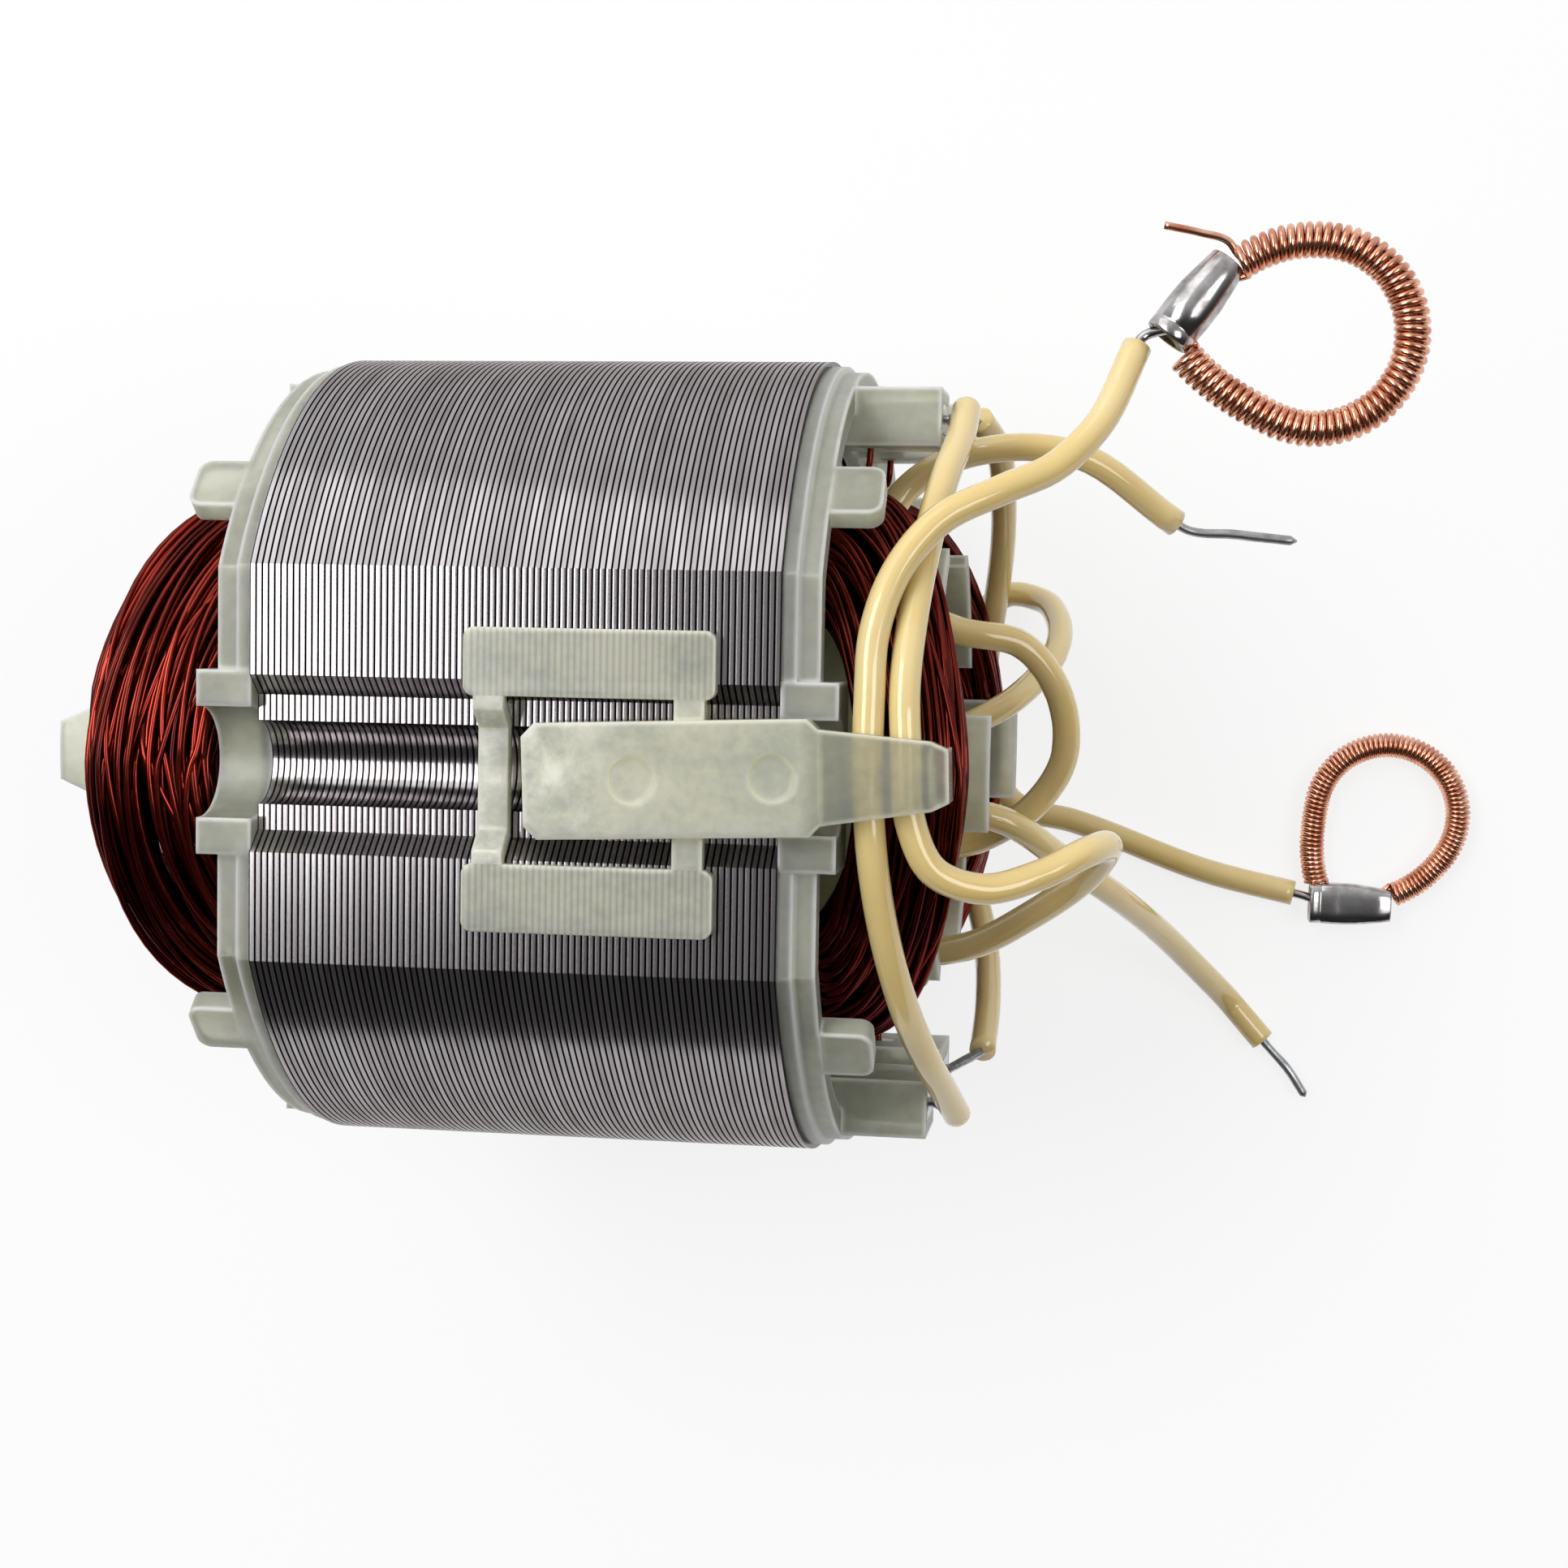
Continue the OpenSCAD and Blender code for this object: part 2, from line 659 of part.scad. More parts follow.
// A folded terminal in its housing, with a soldered tail out to the lead
module terminal(y, z, lead) {
    h = cavity_h - 2 * terminal_gap;
    w = cavity_w - 2 * terminal_gap;
    x0 = cavity_x + terminal_gap;
    length = tail_x - x0;
    root = [tail_x - terminal_t, y * housing_y, z * housing_z];
    color([0.78, 0.79, 0.82]) {
        translate([x0, y * housing_y, z * housing_z]) {
            difference() {
                translate([0, -w / 2, -h / 2])
                    cube([length, w, h]);
                translate([-slop, -w / 2 + terminal_t, -h / 2 + terminal_t])
                    cube([length - terminal_t, w - 2 * terminal_t, h - 2 * terminal_t]);
                translate([-slop, -w, -wire_d / 2 - film_gap])
                    cube([tail_slot_len, 2 * w, wire_d + 2 * film_gap]);
            }
        }
        tube([root, root + [conductor_d, 0, 0], (root + [conductor_d, 0, 0] + lead_start(lead)) / 2,
              lead_start(lead)], [conductor_d / 2], 8);
    }
}

module rear_upper_terminal() {
    terminal(1, 1, 0);
}

module front_upper_terminal() {
    terminal(-1, 1, 1);
}

module rear_lower_terminal() {
    terminal(1, -1, 2);
}

module front_lower_terminal() {
    terminal(-1, -1, 3);
}

// Cross bar of the clip, which dips into the channel
module clip_bar_section() {
    drop = channel_depth - clip_gap;
    half_gap = clip_plate_gap / 2;
    play = abs(clip_shift) + clip_gap;
    brow = min(half_gap, channel_mouth_w / 2 - play);
    foot = channel_floor_w / 2 - play;
    top_foot = foot - (brow - foot) * clip_t / drop / 2;
    polygon([[-half_gap, clip_t], [-half_gap, 0], [-brow, 0], [-foot, -drop], [foot, -drop],
             [brow, 0], [half_gap, 0], [half_gap, clip_t], [brow - clip_t / 2, clip_t],
             [top_foot, clip_t - drop], [-top_foot, clip_t - drop], [clip_t / 2 - brow, clip_t]]);
}

// The clip's tongue with its strap and hook over the leads, turned about its plain end
module clip_tongue() {
    tongue_x = clip_start + clip_bar_w + clip_tongue_gap;
    half = clip_tongue_w / 2;
    root = strap_root_w / 2;
    tip = strap_w / 2;
    strap_end = hook_x + hook_t;
    shoulder = strap_start - (half - root);
    translate([tongue_x, 0, 0])
        rotate(clip_turn)
            translate([-tongue_x, 0, 0])
                difference() {
                    union() {
                        translate([0, 0, tongue_z])
                            linear_extrude(clip_tongue_t)
                                polygon([[tongue_x, tongue_cut - half], [tongue_x + tongue_cut, -half],
                                         [shoulder, -half], [strap_start, -root], [strap_start, root],
                                         [shoulder, half], [tongue_x + tongue_cut, half],
                                         [tongue_x, half - tongue_cut]]);
                        translate([0, 0, strap_z])
                            linear_extrude(strap_t)
                                polygon([[shoulder, -root], [strap_start, -root], [hook_x, -tip],
                                         [strap_end, hook_cut - tip], [strap_end, tip - hook_cut],
                                         [hook_x, tip], [strap_start, root], [shoulder, root]]);
                        translate([hook_x, hook_cut - tip, strap_z - lead_d])
                            cube([hook_t, strap_w - 2 * hook_cut, lead_d + slop]);
                    }
                    for (x = [mark_x, strap_start - mark_d])
                        translate([x, 0, tongue_z + clip_tongue_t - mark_depth])
                            cylinder(h = 1, d = mark_d);
                }
}

module lead_clip() {
    bar_x = clip_start + clip_plate_len - clip_bar_w;
    bar_len = clip_plate_gap / 2 - clip_tongue_w / 2 + clip_bar_w;
    color([0.86, 0.88, 0.8])
        translate([0, clip_shift, 0]) {
            for (side = [0, 1])
                mirror([0, side, 0]) {
                    translate([clip_start, clip_plate_gap / 2, flat_z])
                        rounded_plate(clip_plate_len, clip_plate_w, clip_t, clip_round);
                    translate([bar_x - clip_round, clip_plate_gap / 2 - bar_len, flat_z])
                        cube([clip_bar_w, bar_len + slop, clip_t]);
                }
            translate([0, 0, flat_z])
                along_x(clip_start + clip_round, clip_bar_w)
                    clip_bar_section();
            clip_tongue();
        }
}

module lead(route) {
    color([0.88, 0.8, 0.55])
        tube(route, [lead_d / 2], 8);
}

module front_brush_lead() {
    lead(front_brush_route);
}

module rear_supply_lead() {
    lead(rear_supply_route);
}

module rear_brush_lead() {
    lead(rear_brush_route);
}

module front_supply_lead() {
    lead(front_supply_route);
}

module stripped_end(route) {
    color([0.7, 0.71, 0.72])
        tube(route, [conductor_d / 2], 8);
}

module rear_stripped_end() {
    stripped_end(rear_strip_route);
}

module front_stripped_end() {
    stripped_end(front_strip_route);
}

// A ferrule crimped over the lead's bare conductor and both ends of a contact ring
module ferrule(route, base, way) {
    r = ferrule_d / 2;
    start = last(route);
    color([0.8, 0.81, 0.83]) {
        tube([start, start + conductor_d * end_way(route), base + ferrule_grip * way], [conductor_d / 2], 8);
        translate(base)
            rotate([0, acos(way[2]), atan2(way[1], way[0])])
                rotate_extrude($fn = 32)
                    polygon([[0, 0], [0.94 * r, 0], [r, ferrule_lip / 4], [r, ferrule_len - 4 * ferrule_lip],
                             [ferrule_tip * r, ferrule_len], [0, ferrule_len]]);
    }
}

module upper_ferrule() {
    ferrule(front_brush_route, upper_ferrule_base, upper_ferrule_way);
}

module lower_ferrule() {
    ferrule(rear_brush_route, lower_ferrule_base, lower_ferrule_way);
}

// A ring of closely coiled wire with one ridge for each turn. Both ends flare out
// of the circle into the ferrule.
module contact_ring(centre, r, coil_d, angles, flares) {
    count = 2 * ring_turns;
    route = [for (k = [0:count])
        let (a = angles[0] + (angles[1] - angles[0]) * k / count,
             start = max(0, 1 - (angles[0] - a) / flare_arc),
             end = max(0, 1 - (a - angles[1]) / flare_arc))
        centre + (r + flares[0] * start * start + flares[1] * end * end) * [cos(a), sin(a), 0]];
    color([0.62, 0.33, 0.2])
        tube(route, [coil_d / 2 - ring_furrow, coil_d / 2], 8);
}

module upper_contact_ring() {
    contact_ring(upper_ring_centre, upper_ring_r, upper_ring_coil_d, [137.5, -171], [0.9, 3]);
    color([0.62, 0.33, 0.2])
        tube(upper_ring_tail, [ring_wire_d / 2], 6);
}

module lower_contact_ring() {
    contact_ring(lower_ring_centre, lower_ring_r, lower_ring_coil_d, [226, -84], [2.6, 1.1]);
}

lamination_stack();
plain_end_insulator();
terminal_end_insulator();
upper_coil();
lower_coil();
upper_coil_tails();
lower_coil_tails();
rear_upper_slot_film();
front_upper_slot_film();
rear_lower_slot_film();
front_lower_slot_film();
rear_upper_terminal();
front_upper_terminal();
rear_lower_terminal();
front_lower_terminal();
lead_clip();
front_brush_lead();
rear_supply_lead();
rear_brush_lead();
front_supply_lead();
upper_ferrule();
lower_ferrule();
upper_contact_ring();
lower_contact_ring();
rear_stripped_end();
front_stripped_end();
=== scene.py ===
"""Looks of a wound motor stator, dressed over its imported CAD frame.

Sizes are written in millimetres and become metres where a mesh is made. X runs along the
rotor axis towards the terminals, Y to the rear and Z up. The stator lies on its lower flat.
"""

import logging
from dataclasses import dataclass
from enum import Enum

import bpy
import numpy as np
from mathutils import Matrix, Vector


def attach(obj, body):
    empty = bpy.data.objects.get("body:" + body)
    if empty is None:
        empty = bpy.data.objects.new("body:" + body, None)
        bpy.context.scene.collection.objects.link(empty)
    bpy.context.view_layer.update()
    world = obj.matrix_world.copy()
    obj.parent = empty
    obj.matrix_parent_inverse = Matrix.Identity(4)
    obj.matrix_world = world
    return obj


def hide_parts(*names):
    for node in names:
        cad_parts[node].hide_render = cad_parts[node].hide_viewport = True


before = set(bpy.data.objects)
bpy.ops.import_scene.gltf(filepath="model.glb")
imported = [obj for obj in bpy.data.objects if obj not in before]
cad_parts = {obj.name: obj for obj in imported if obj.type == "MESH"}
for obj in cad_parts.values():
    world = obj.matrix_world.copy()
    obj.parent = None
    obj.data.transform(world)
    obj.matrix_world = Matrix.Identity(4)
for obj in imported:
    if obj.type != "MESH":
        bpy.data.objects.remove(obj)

Tree = bpy.types.NodeTree
Node = bpy.types.Node
Socket = bpy.types.NodeSocket
Material = bpy.types.Material
Piece = bpy.types.Object
Colour = tuple[float, float, float, float]
Point = tuple[float, float, float]
Route = tuple[Point, ...]
Span = tuple[float, float]
# A shape is its vertices, one row each, and its faces, in blocks with one row for each face.
Shape = tuple[np.ndarray, list[np.ndarray]]

MM = 0.001
BODY = "root"
# Sockets of a Mix node, whose names repeat: its share, two numbers, two colours, its colour out.
SHARE, LOW, HIGH, FROM, TO, MIXED = 0, 2, 3, 6, 7, 2
# Sockets of a Map Range node, in pairs that take a span.
RANGE_IN, RANGE_OUT = ("From Min", "From Max"), ("To Min", "To Max")
WHITE = (1.0, 1.0, 1.0, 1.0)
log =logging.getLogger("stator")


class Axis(Enum):
    """Directions of the stator's frame."""

    REAR = (0.0, 1.0, 0.0)
    UP = (0.0, 0.0, 1.0)


class Pole(Enum):
    """The two poles, each with the sign of its height."""

    UPPER = 1
    LOWER = -1


class End(Enum):
    """The two ends of the stack, each with the sign of its place along the rotor axis."""

    TERMINAL = 1
    PLAIN = -1


def linear(hex_code: str) -> Colour:
    """Turns an sRGB hex value to a linear colour.

    Args:
        hex_code: A colour such as "#C8B27A".

    Returns:
        Red, green, blue and alpha, as the shader's sockets take them.
    """
    srgb = np.array([int(hex_code[i:i + 2], 16) for i in (1, 3, 5)]) / 255
    red_green_blue = np.where(srgb <= 0.04045, srgb / 12.92, ((srgb + 0.055) / 1.055) ** 2.4)
    return (*red_green_blue.tolist(), 1.0)


def plug(tree: Tree, node: Node, inputs: dict) -> None:
    """Gives a node's sockets their values and links.

    Args:
        tree: The node's tree.
        node: The node.
        inputs: For each socket, by name or number, a value, another node's output or another
            node, whose first output is meant. A pair of names takes a pair of values.
    """
    for key, value in inputs.items():
        source = value.outputs[0] if isinstance(value, Node) else value
        if isinstance(key, tuple):
            plug(tree, node, dict(zip(key, value)))
        elif isinstance(source, Socket):
            tree.links.new(source, node.inputs[key])
        else:
            node.inputs[key].default_value = source


def add_node(tree: Tree, kind: str, inputs: dict | None = None, **settings: object) -> Node:
    """Adds a shader node with its settings and links.

    Args:
        tree: The material's or world's node tree.
        kind: The node's type name, without the word ShaderNode.
        inputs: What its sockets get, as plug takes it.
        **settings: The node's own properties.

    Returns:
        The new node.
    """
    node = tree.nodes.new(f"ShaderNode{kind}")
    for key, value in settings.items():
        setattr(node, key, value)
    plug(tree, node, inputs or {})
    return node


@dataclass(frozen=True)
class Finish:
    """A finish: its name, its slot and what its shader needs."""

    name: str
    slot: str

    def material(self) -> Material:
        """Makes the material with a principled shader and lets the finish add its pattern.

        Returns:
            The material.
        """
        made = bpy.data.materials.new(self.name)
        made.use_nodes = True
        tree = made.node_tree
        place = add_node(tree, "TexCoord").outputs["Object"]
        self.shade(tree, tree.nodes["Principled BSDF"], place)
        return made

    def shade(self, tree: Tree, shader: Node, place: Socket) -> None:
        """Adds the finish's own nodes.

        Args:
            tree: The material's node tree.
            shader: Its principled shader.
            place: Object coordinates, in metres.
        """
        raise NotImplementedError


@dataclass(frozen=True)
class LaminationSteel(Finish):
    """Electrical steel sheet, sheared and stacked.

    To the eye: fine bright lines with dark joints, each sheet a little brighter or duller than
    the next. Places on a sheet's edge are shares of its thickness, from its middle.
    """

    bright: str = "#C4C1C3"
    dull: str = "#797173"
    seam: str = "#15110F"
    sheet_t: float = 0.5
    streak: float = 1.2
    streak_stretch: Point = (1.0, 0.2, 0.2)
    streak_share: float = 0.68
    joint: Span = (0.29, 0.38)
    crown: Span = (0.1, 0.4)
    crown_h: float = 0.05
    crown_strength: float = 0.1
    roughness: Span = (0.25, 0.12)
    metallic: float = 0.95
    edge_tint: Colour = (0.6, 0.58, 0.57, 1.0)

    def shade(self, tree: Tree, shader: Node, place: Socket) -> None:
        """Adds one tone for each sheet, streaks along it, a low crown and its dark joints."""
        along = add_node(tree, "SeparateXYZ", {0: place}).outputs["X"]
        sheet = add_node(tree, "Math", {0: along, 1: self.sheet_t * MM}, operation="DIVIDE")
        count = add_node(tree, "Math", {0: sheet}, operation="ROUND")
        off = add_node(tree, "Math", {0: sheet, 1: count}, operation="SUBTRACT")
        aside = add_node(tree, "Math", {0: off}, operation="ABSOLUTE")
        tone = add_node(tree, "TexWhiteNoise", {"W": count}, noise_dimensions="1D")
        stretched = add_node(tree, "Mapping", {"Vector": place, "Scale": self.streak_stretch})
        streaks = add_node(tree, "TexNoise", {"Vector": stretched, "Scale": 1 / (self.streak * MM),
                                              "Detail": 5.0})
        both = add_node(tree, "Mix", {SHARE: self.streak_share, LOW: tone.outputs["Value"],
                                      HIGH: streaks})
        metal = add_node(tree, "Mix", {SHARE: both, FROM: linear(self.dull),
                                       TO: linear(self.bright)}, data_type="RGBA")
        joint = add_node(tree, "MapRange", {"Value": aside, RANGE_IN: self.joint})
        colour = add_node(tree, "Mix", {SHARE: joint, FROM: metal.outputs[MIXED],
                                        TO: linear(self.seam)}, data_type="RGBA")
        rough = add_node(tree, "MapRange", {"Value": streaks, RANGE_OUT: self.roughness})
        crown = add_node(tree, "MapRange", {"Value": aside, RANGE_IN: self.crown,
                                            RANGE_OUT: (1.0, 0.0)}, interpolation_type="SMOOTHSTEP")
        relief = add_node(tree, "Bump", {"Strength": self.crown_strength,
                                         "Distance": self.crown_h * MM, "Height": crown})
        plug(tree, shader, {"Base Color": colour.outputs[MIXED], "Roughness": rough,
                            "Normal": relief, "Metallic": self.metallic,
                            "Specular Tint": self.edge_tint})


@dataclass(frozen=True)
class MouldedNylon(Finish):
    """Natural nylon, injection moulded.

    To the eye: milky and half clear, a little green, cloudy inside, with a painted highlight along
    its edges.
    """

    pale: str = "#E6E7D7"
    deep: str = "#CCCFBC"
    # Colour of the painted highlight that whitens every edge.
    edge: str = "#FCFCF4"
    clear: float = 0.7
    edge_clear: float = 0.2
    cloud: float = 7.0
    frost: float = 1.3
    frost_share: float = 0.4
    patches: Span = (0.39, 0.61)
    # Radius of the rounded edges, then the strength and falloff of their painted highlight.
    edge_r: float = 0.75
    edge_share: float = 0.9
    edge_turn: Span = (0.995, 0.82)
    grain: float = 0.6
    grain_h: float = 0.05
    grain_strength: float = 0.08
    smooth: float = 0.28
    coarse: float = 0.48
    ior: float = 1.53
    scatter: float = 0.8
    scatter_rgb: Point = (1.0, 0.95, 0.6)
    depth: float = 2.4

    def shade(self, tree: Tree, shader: Node, place: Socket) -> None:
        """Adds clouds, light that spreads under the skin, a painted highlight on the edges and a
        moulded grain.

        An edge is where the rounded normal leaves the flat one: their dot product falls.
        """
        clouds = add_node(tree, "TexNoise", {"Vector": place, "Scale": 1 / (self.cloud * MM),
                                             "Detail": 5.0})
        haze = add_node(tree, "TexNoise", {"Vector": place, "Scale": 1 / (self.frost * MM),
                                           "Detail": 4.0})
        patchy = add_node(tree, "Mix", {SHARE: self.frost_share, LOW: clouds, HIGH: haze})
        spread = add_node(tree, "MapRange", {"Value": patchy, RANGE_IN: self.patches})
        colour = add_node(tree, "Mix", {SHARE: spread, FROM: linear(self.deep),
                                        TO: linear(self.pale)}, data_type="RGBA")
        rounded = add_node(tree, "Bevel", {"Radius": self.edge_r * MM}, samples=6)
        flat = add_node(tree, "NewGeometry").outputs["Normal"]
        same = add_node(tree, "VectorMath", {0: rounded, 1: flat}, operation="DOT_PRODUCT")
        wear_and_edge_light = add_node(tree, "MapRange", {"Value": same.outputs["Value"], RANGE_IN: self.edge_turn,
                                           RANGE_OUT: (0.0, self.edge_share)})
        # Painted highlight: edges are whitened and made less clear wherever the rounded normal
        # turns, whatever the light.
        edged = add_node(tree, "Mix", {SHARE: wear_and_edge_light, FROM: colour.outputs[MIXED],
                                       TO: linear(self.edge)}, data_type="RGBA")
        grain = add_node(tree, "TexNoise", {"Vector": place, "Scale": 1 / (self.grain * MM),
                                            "Detail": 3.0})
        relief = add_node(tree, "Bump", {"Strength": self.grain_strength,
                                         "Distance": self.grain_h * MM, "Height": grain,
                                         "Normal": rounded})
        rough = add_node(tree, "MapRange", {"Value": clouds, RANGE_OUT: (self.smooth, self.coarse)})
        clearness = add_node(tree, "MapRange", {"Value": wear_and_edge_light, RANGE_OUT: (
            self.clear, self.edge_clear * self.clear)})
        plug(tree, shader, {"Base Color": edged.outputs[MIXED], "Normal": relief,
                            "Roughness": rough, "IOR": self.ior, "Transmission Weight": clearness,
                            "Subsurface Weight": self.scatter,
                            "Subsurface Radius": self.scatter_rgb,
                            "Subsurface Scale": self.depth * MM})


@dataclass(frozen=True)
class ClipNylon(MouldedNylon):
    """Thin moulded nylon of the lead clip.

    To the eye: half clear, so that the sheets show under its plates and the leads under its
    strap, with white scuffs at the tongue's free end.
    """

    sheet_t: float = 0.5
    sheet_line: str = "#8B8D84"
    line: Span = (0.15, 0.45)
    line_share: float = 0.34
    plate_y: float = 6.4
    shift_y: float = -0.7
    scuff: str = "#FAFAF2"
    scuff_size: float = 2.6
    scuff_ragged: float = 0.68
    scuff_from: Span = (0.42, 0.68)
    scuff_share: float = 0.42
    scuff_x: Span = (12.0, 3.5)
    strap_clear: float = 0.82
    strap_x: Span = (22.5, 24.5)

    def shade(self, tree: Tree, shader: Node, place: Socket) -> None:
        """Adds to the moulded nylon the sheets' lines, the scuffs and the clearer strap."""
        super().shade(tree, shader, place)
        milk, clearness = (shader.inputs[name].links[0].from_socket
                           for name in ("Base Color", "Transmission Weight"))
        x, y, _ = add_node(tree, "SeparateXYZ", {0: place}).outputs
        sheet = add_node(tree, "Math", {0: x, 1: self.sheet_t * MM}, operation="DIVIDE")
        aside = add_node(tree, "Math", {0: sheet, 1: 0.5}, operation="PINGPONG")
        lines = add_node(tree, "MapRange", {"Value": aside, RANGE_IN: self.line,
                                            RANGE_OUT: (0.0, self.line_share)})
        middle = add_node(tree, "Math", {0: y, 1: self.shift_y * MM}, operation="SUBTRACT")
        off = add_node(tree, "Math", {0: middle}, operation="ABSOLUTE")
        plate = add_node(tree, "Math", {0: off, 1: self.plate_y * MM}, operation="GREATER_THAN")
        share = add_node(tree, "Math", {0: lines, 1: plate}, operation="MULTIPLY")
        lined = add_node(tree, "Mix", {SHARE: share, FROM: milk, TO: linear(self.sheet_line)},
                         data_type="RGBA")
        rubbed = add_node(tree, "TexNoise", {"Vector": place, "Scale": 1 / (self.scuff_size * MM),
                                             "Detail": 8.0, "Roughness": self.scuff_ragged})
        marks = add_node(tree, "MapRange", {"Value": rubbed, RANGE_IN: self.scuff_from,
                                            RANGE_OUT: (0.0, self.scuff_share)})
        free_end = add_node(tree, "MapRange", {
            "Value": x, RANGE_IN: [at * MM for at in self.scuff_x], RANGE_OUT: (0.0, 1.0)})
        tongue = add_node(tree, "Math", {0: free_end, 1: plate}, operation="SUBTRACT",
                          use_clamp=True)
        white = add_node(tree, "Math", {0: marks, 1: tongue}, operation="MULTIPLY")
        scuffed = add_node(tree, "Mix", {SHARE: white, FROM: lined.outputs[MIXED],
                                         TO: linear(self.scuff)}, data_type="RGBA")
        thin = add_node(tree, "MapRange", {
            "Value": x, RANGE_IN: [at * MM for at in self.strap_x],
            RANGE_OUT: (1.0, self.strap_clear / self.clear)})
        milky = add_node(tree, "Math", {0: thin, 1: white}, operation="SUBTRACT")
        clear = add_node(tree, "Math", {0: milky, 1: clearness}, operation="MULTIPLY")
        plug(tree, shader, {"Base Color": scuffed.outputs[MIXED], "Transmission Weight": clear})


@dataclass(frozen=True)
class EnamelledWire(Finish):
    """Copper wire, drawn and dipped in red-brown varnish.

    To the eye: nearly black between the turns, with narrow red highlights along each one.
    """

    dark: str = "#140403"
    red: str = "#A23628"
    smear: float = 3.5
    smear_share: float = 0.4
    roughness: Span = (0.14, 0.28)
    metallic: float = 0.95
    edge_tint: Colour = (0.45, 0.13, 0.1, 1.0)
    coat: float = 0.15
    coat_roughness: float = 0.08

    def shade(self, tree: Tree, shader: Node, place: Socket) -> None:
        """Adds one tone for each turn from the mesh's own values, which carry the coils' painted
        shade, with smears of varnish.
        """
        turn = add_node(tree, "Attribute", attribute_name="turn_tone_and_shade").outputs["Fac"]
        smears = add_node(tree, "TexNoise", {"Vector": place, "Scale": 1 / (self.smear * MM),
                                             "Detail": 3.0})
        both = add_node(tree, "Mix", {SHARE: self.smear_share, LOW: turn, HIGH: smears})
        colour = add_node(tree, "Mix", {SHARE: both, FROM: linear(self.dark),
                                        TO: linear(self.red)}, data_type="RGBA")
        rough = add_node(tree, "MapRange", {"Value": smears, RANGE_OUT: self.roughness})
        plug(tree, shader, {"Base Color": colour.outputs[MIXED], "Roughness": rough,
                            "Metallic": self.metallic, "Specular Tint": self.edge_tint,
                            "Coat Weight": self.coat, "Coat Roughness": self.coat_roughness})


@dataclass(frozen=True)
class LeadInsulation(Finish):
    """Cream PVC, extruded.

    To the eye: smooth and glossy with a narrow highlight, warmer where light passes its edge.
    """

    cream: str = "#DFCC97"
    tan: str = "#D6BE7E"
    drift: float = 14.0
    drift_from: Span = (0.3, 0.7)
    wave: float = 4.0
    wave_h: float = 0.1
    wave_strength: float = 0.05
    roughness: Span = (0.06, 0.16)
    ior: float = 1.53
    scatter: float = 0.75
    scatter_rgb: Point = (1.0, 0.72, 0.35)
    depth: float = 1.4
    coat: float = 0.5
    coat_roughness: float = 0.04

    def shade(self, tree: Tree, shader: Node, place: Socket) -> None:
        """Adds a slow drift of colour and a soft waviness from the extruder."""
        drift = add_node(tree, "TexNoise", {"Vector": place, "Scale": 1 / (self.drift * MM),
                                            "Detail": 2.0})
        wide = add_node(tree, "MapRange", {"Value": drift, RANGE_IN: self.drift_from})
        colour = add_node(tree, "Mix", {SHARE: wide, FROM: linear(self.tan),
                                        TO: linear(self.cream)}, data_type="RGBA")
        waves = add_node(tree, "TexNoise", {"Vector": place, "Scale": 1 / (self.wave * MM),
                                            "Detail": 2.0})
        relief = add_node(tree, "Bump", {"Strength": self.wave_strength,
                                         "Distance": self.wave_h * MM, "Height": waves})
        rough = add_node(tree, "MapRange", {"Value": waves, RANGE_OUT: self.roughness})
        plug(tree, shader, {"Base Color": colour.outputs[MIXED], "Normal": relief,
                            "Roughness": rough, "IOR": self.ior, "Subsurface Weight": self.scatter,
                            "Subsurface Radius": self.scatter_rgb,
                            "Subsurface Scale": self.depth * MM, "Coat Weight": self.coat,
                            "Coat Roughness": self.coat_roughness})


@dataclass(frozen=True)
class BareMetal(Finish):
    """Drawn, tinned or pressed metal.

    To the eye: one bright colour with duller, rougher worn patches of a given size.
    """

    bright: str = "#C9CBCE"
    wear_and_edge_light: str = "#8F9296"
    grain: float = 0.8
    worn_from: Span = (0.35, 0.7)
    smooth: float = 0.2
    coarse: float = 0.42
    dent_h: float = 0.04
    dent_strength: float = 0.15

    def shade(self, tree: Tree, shader: Node, place: Socket) -> None:
        """Adds the worn patches over a faint dented relief."""
        wear = add_node(tree, "TexNoise", {"Vector": place, "Scale": 1 / (self.grain * MM),
                                           "Detail": 5.0})
        wide = add_node(tree, "MapRange", {"Value": wear, RANGE_IN: self.worn_from})
        colour = add_node(tree, "Mix", {SHARE: wide, FROM: linear(self.bright),
                                        TO: linear(self.wear_and_edge_light)}, data_type="RGBA")
        rough = add_node(tree, "MapRange", {"Value": wide, RANGE_OUT: (self.smooth, self.coarse)})
        relief = add_node(tree, "Bump", {"Strength": self.dent_strength,
                                         "Distance": self.dent_h * MM, "Height": wear})
        plug(tree, shader, {"Base Color": colour.outputs[MIXED], "Roughness": rough,
                            "Normal": relief, "Metallic": 1.0})


@dataclass(frozen=True)
class SlotPaper(Finish):
    """Insulating film with pressed fibre on it.

    To the eye: flat cream with fine darker fibres.
    """

    pale: str = "#CFC6A8"
    fibre: str = "#B5AA88"
    fibre_size: float = 0.8
    roughness: float = 0.6

    def shade(self, tree: Tree, shader: Node, place: Socket) -> None:
        """Adds the fibres in two tones."""
        fibres = add_node(tree, "TexNoise", {"Vector": place, "Scale": 1 / (self.fibre_size * MM),
                                             "Detail": 6.0})
        colour = add_node(tree, "Mix", {SHARE: fibres, FROM: linear(self.fibre),
                                        TO: linear(self.pale)}, data_type="RGBA")
        plug(tree, shader, {"Base Color": colour.outputs[MIXED], "Roughness": self.roughness})


def unit(vectors: np.ndarray) -> np.ndarray:
    """Scales each vector to length one."""
    return vectors / np.linalg.norm(vectors, axis=-1, keepdims=True)


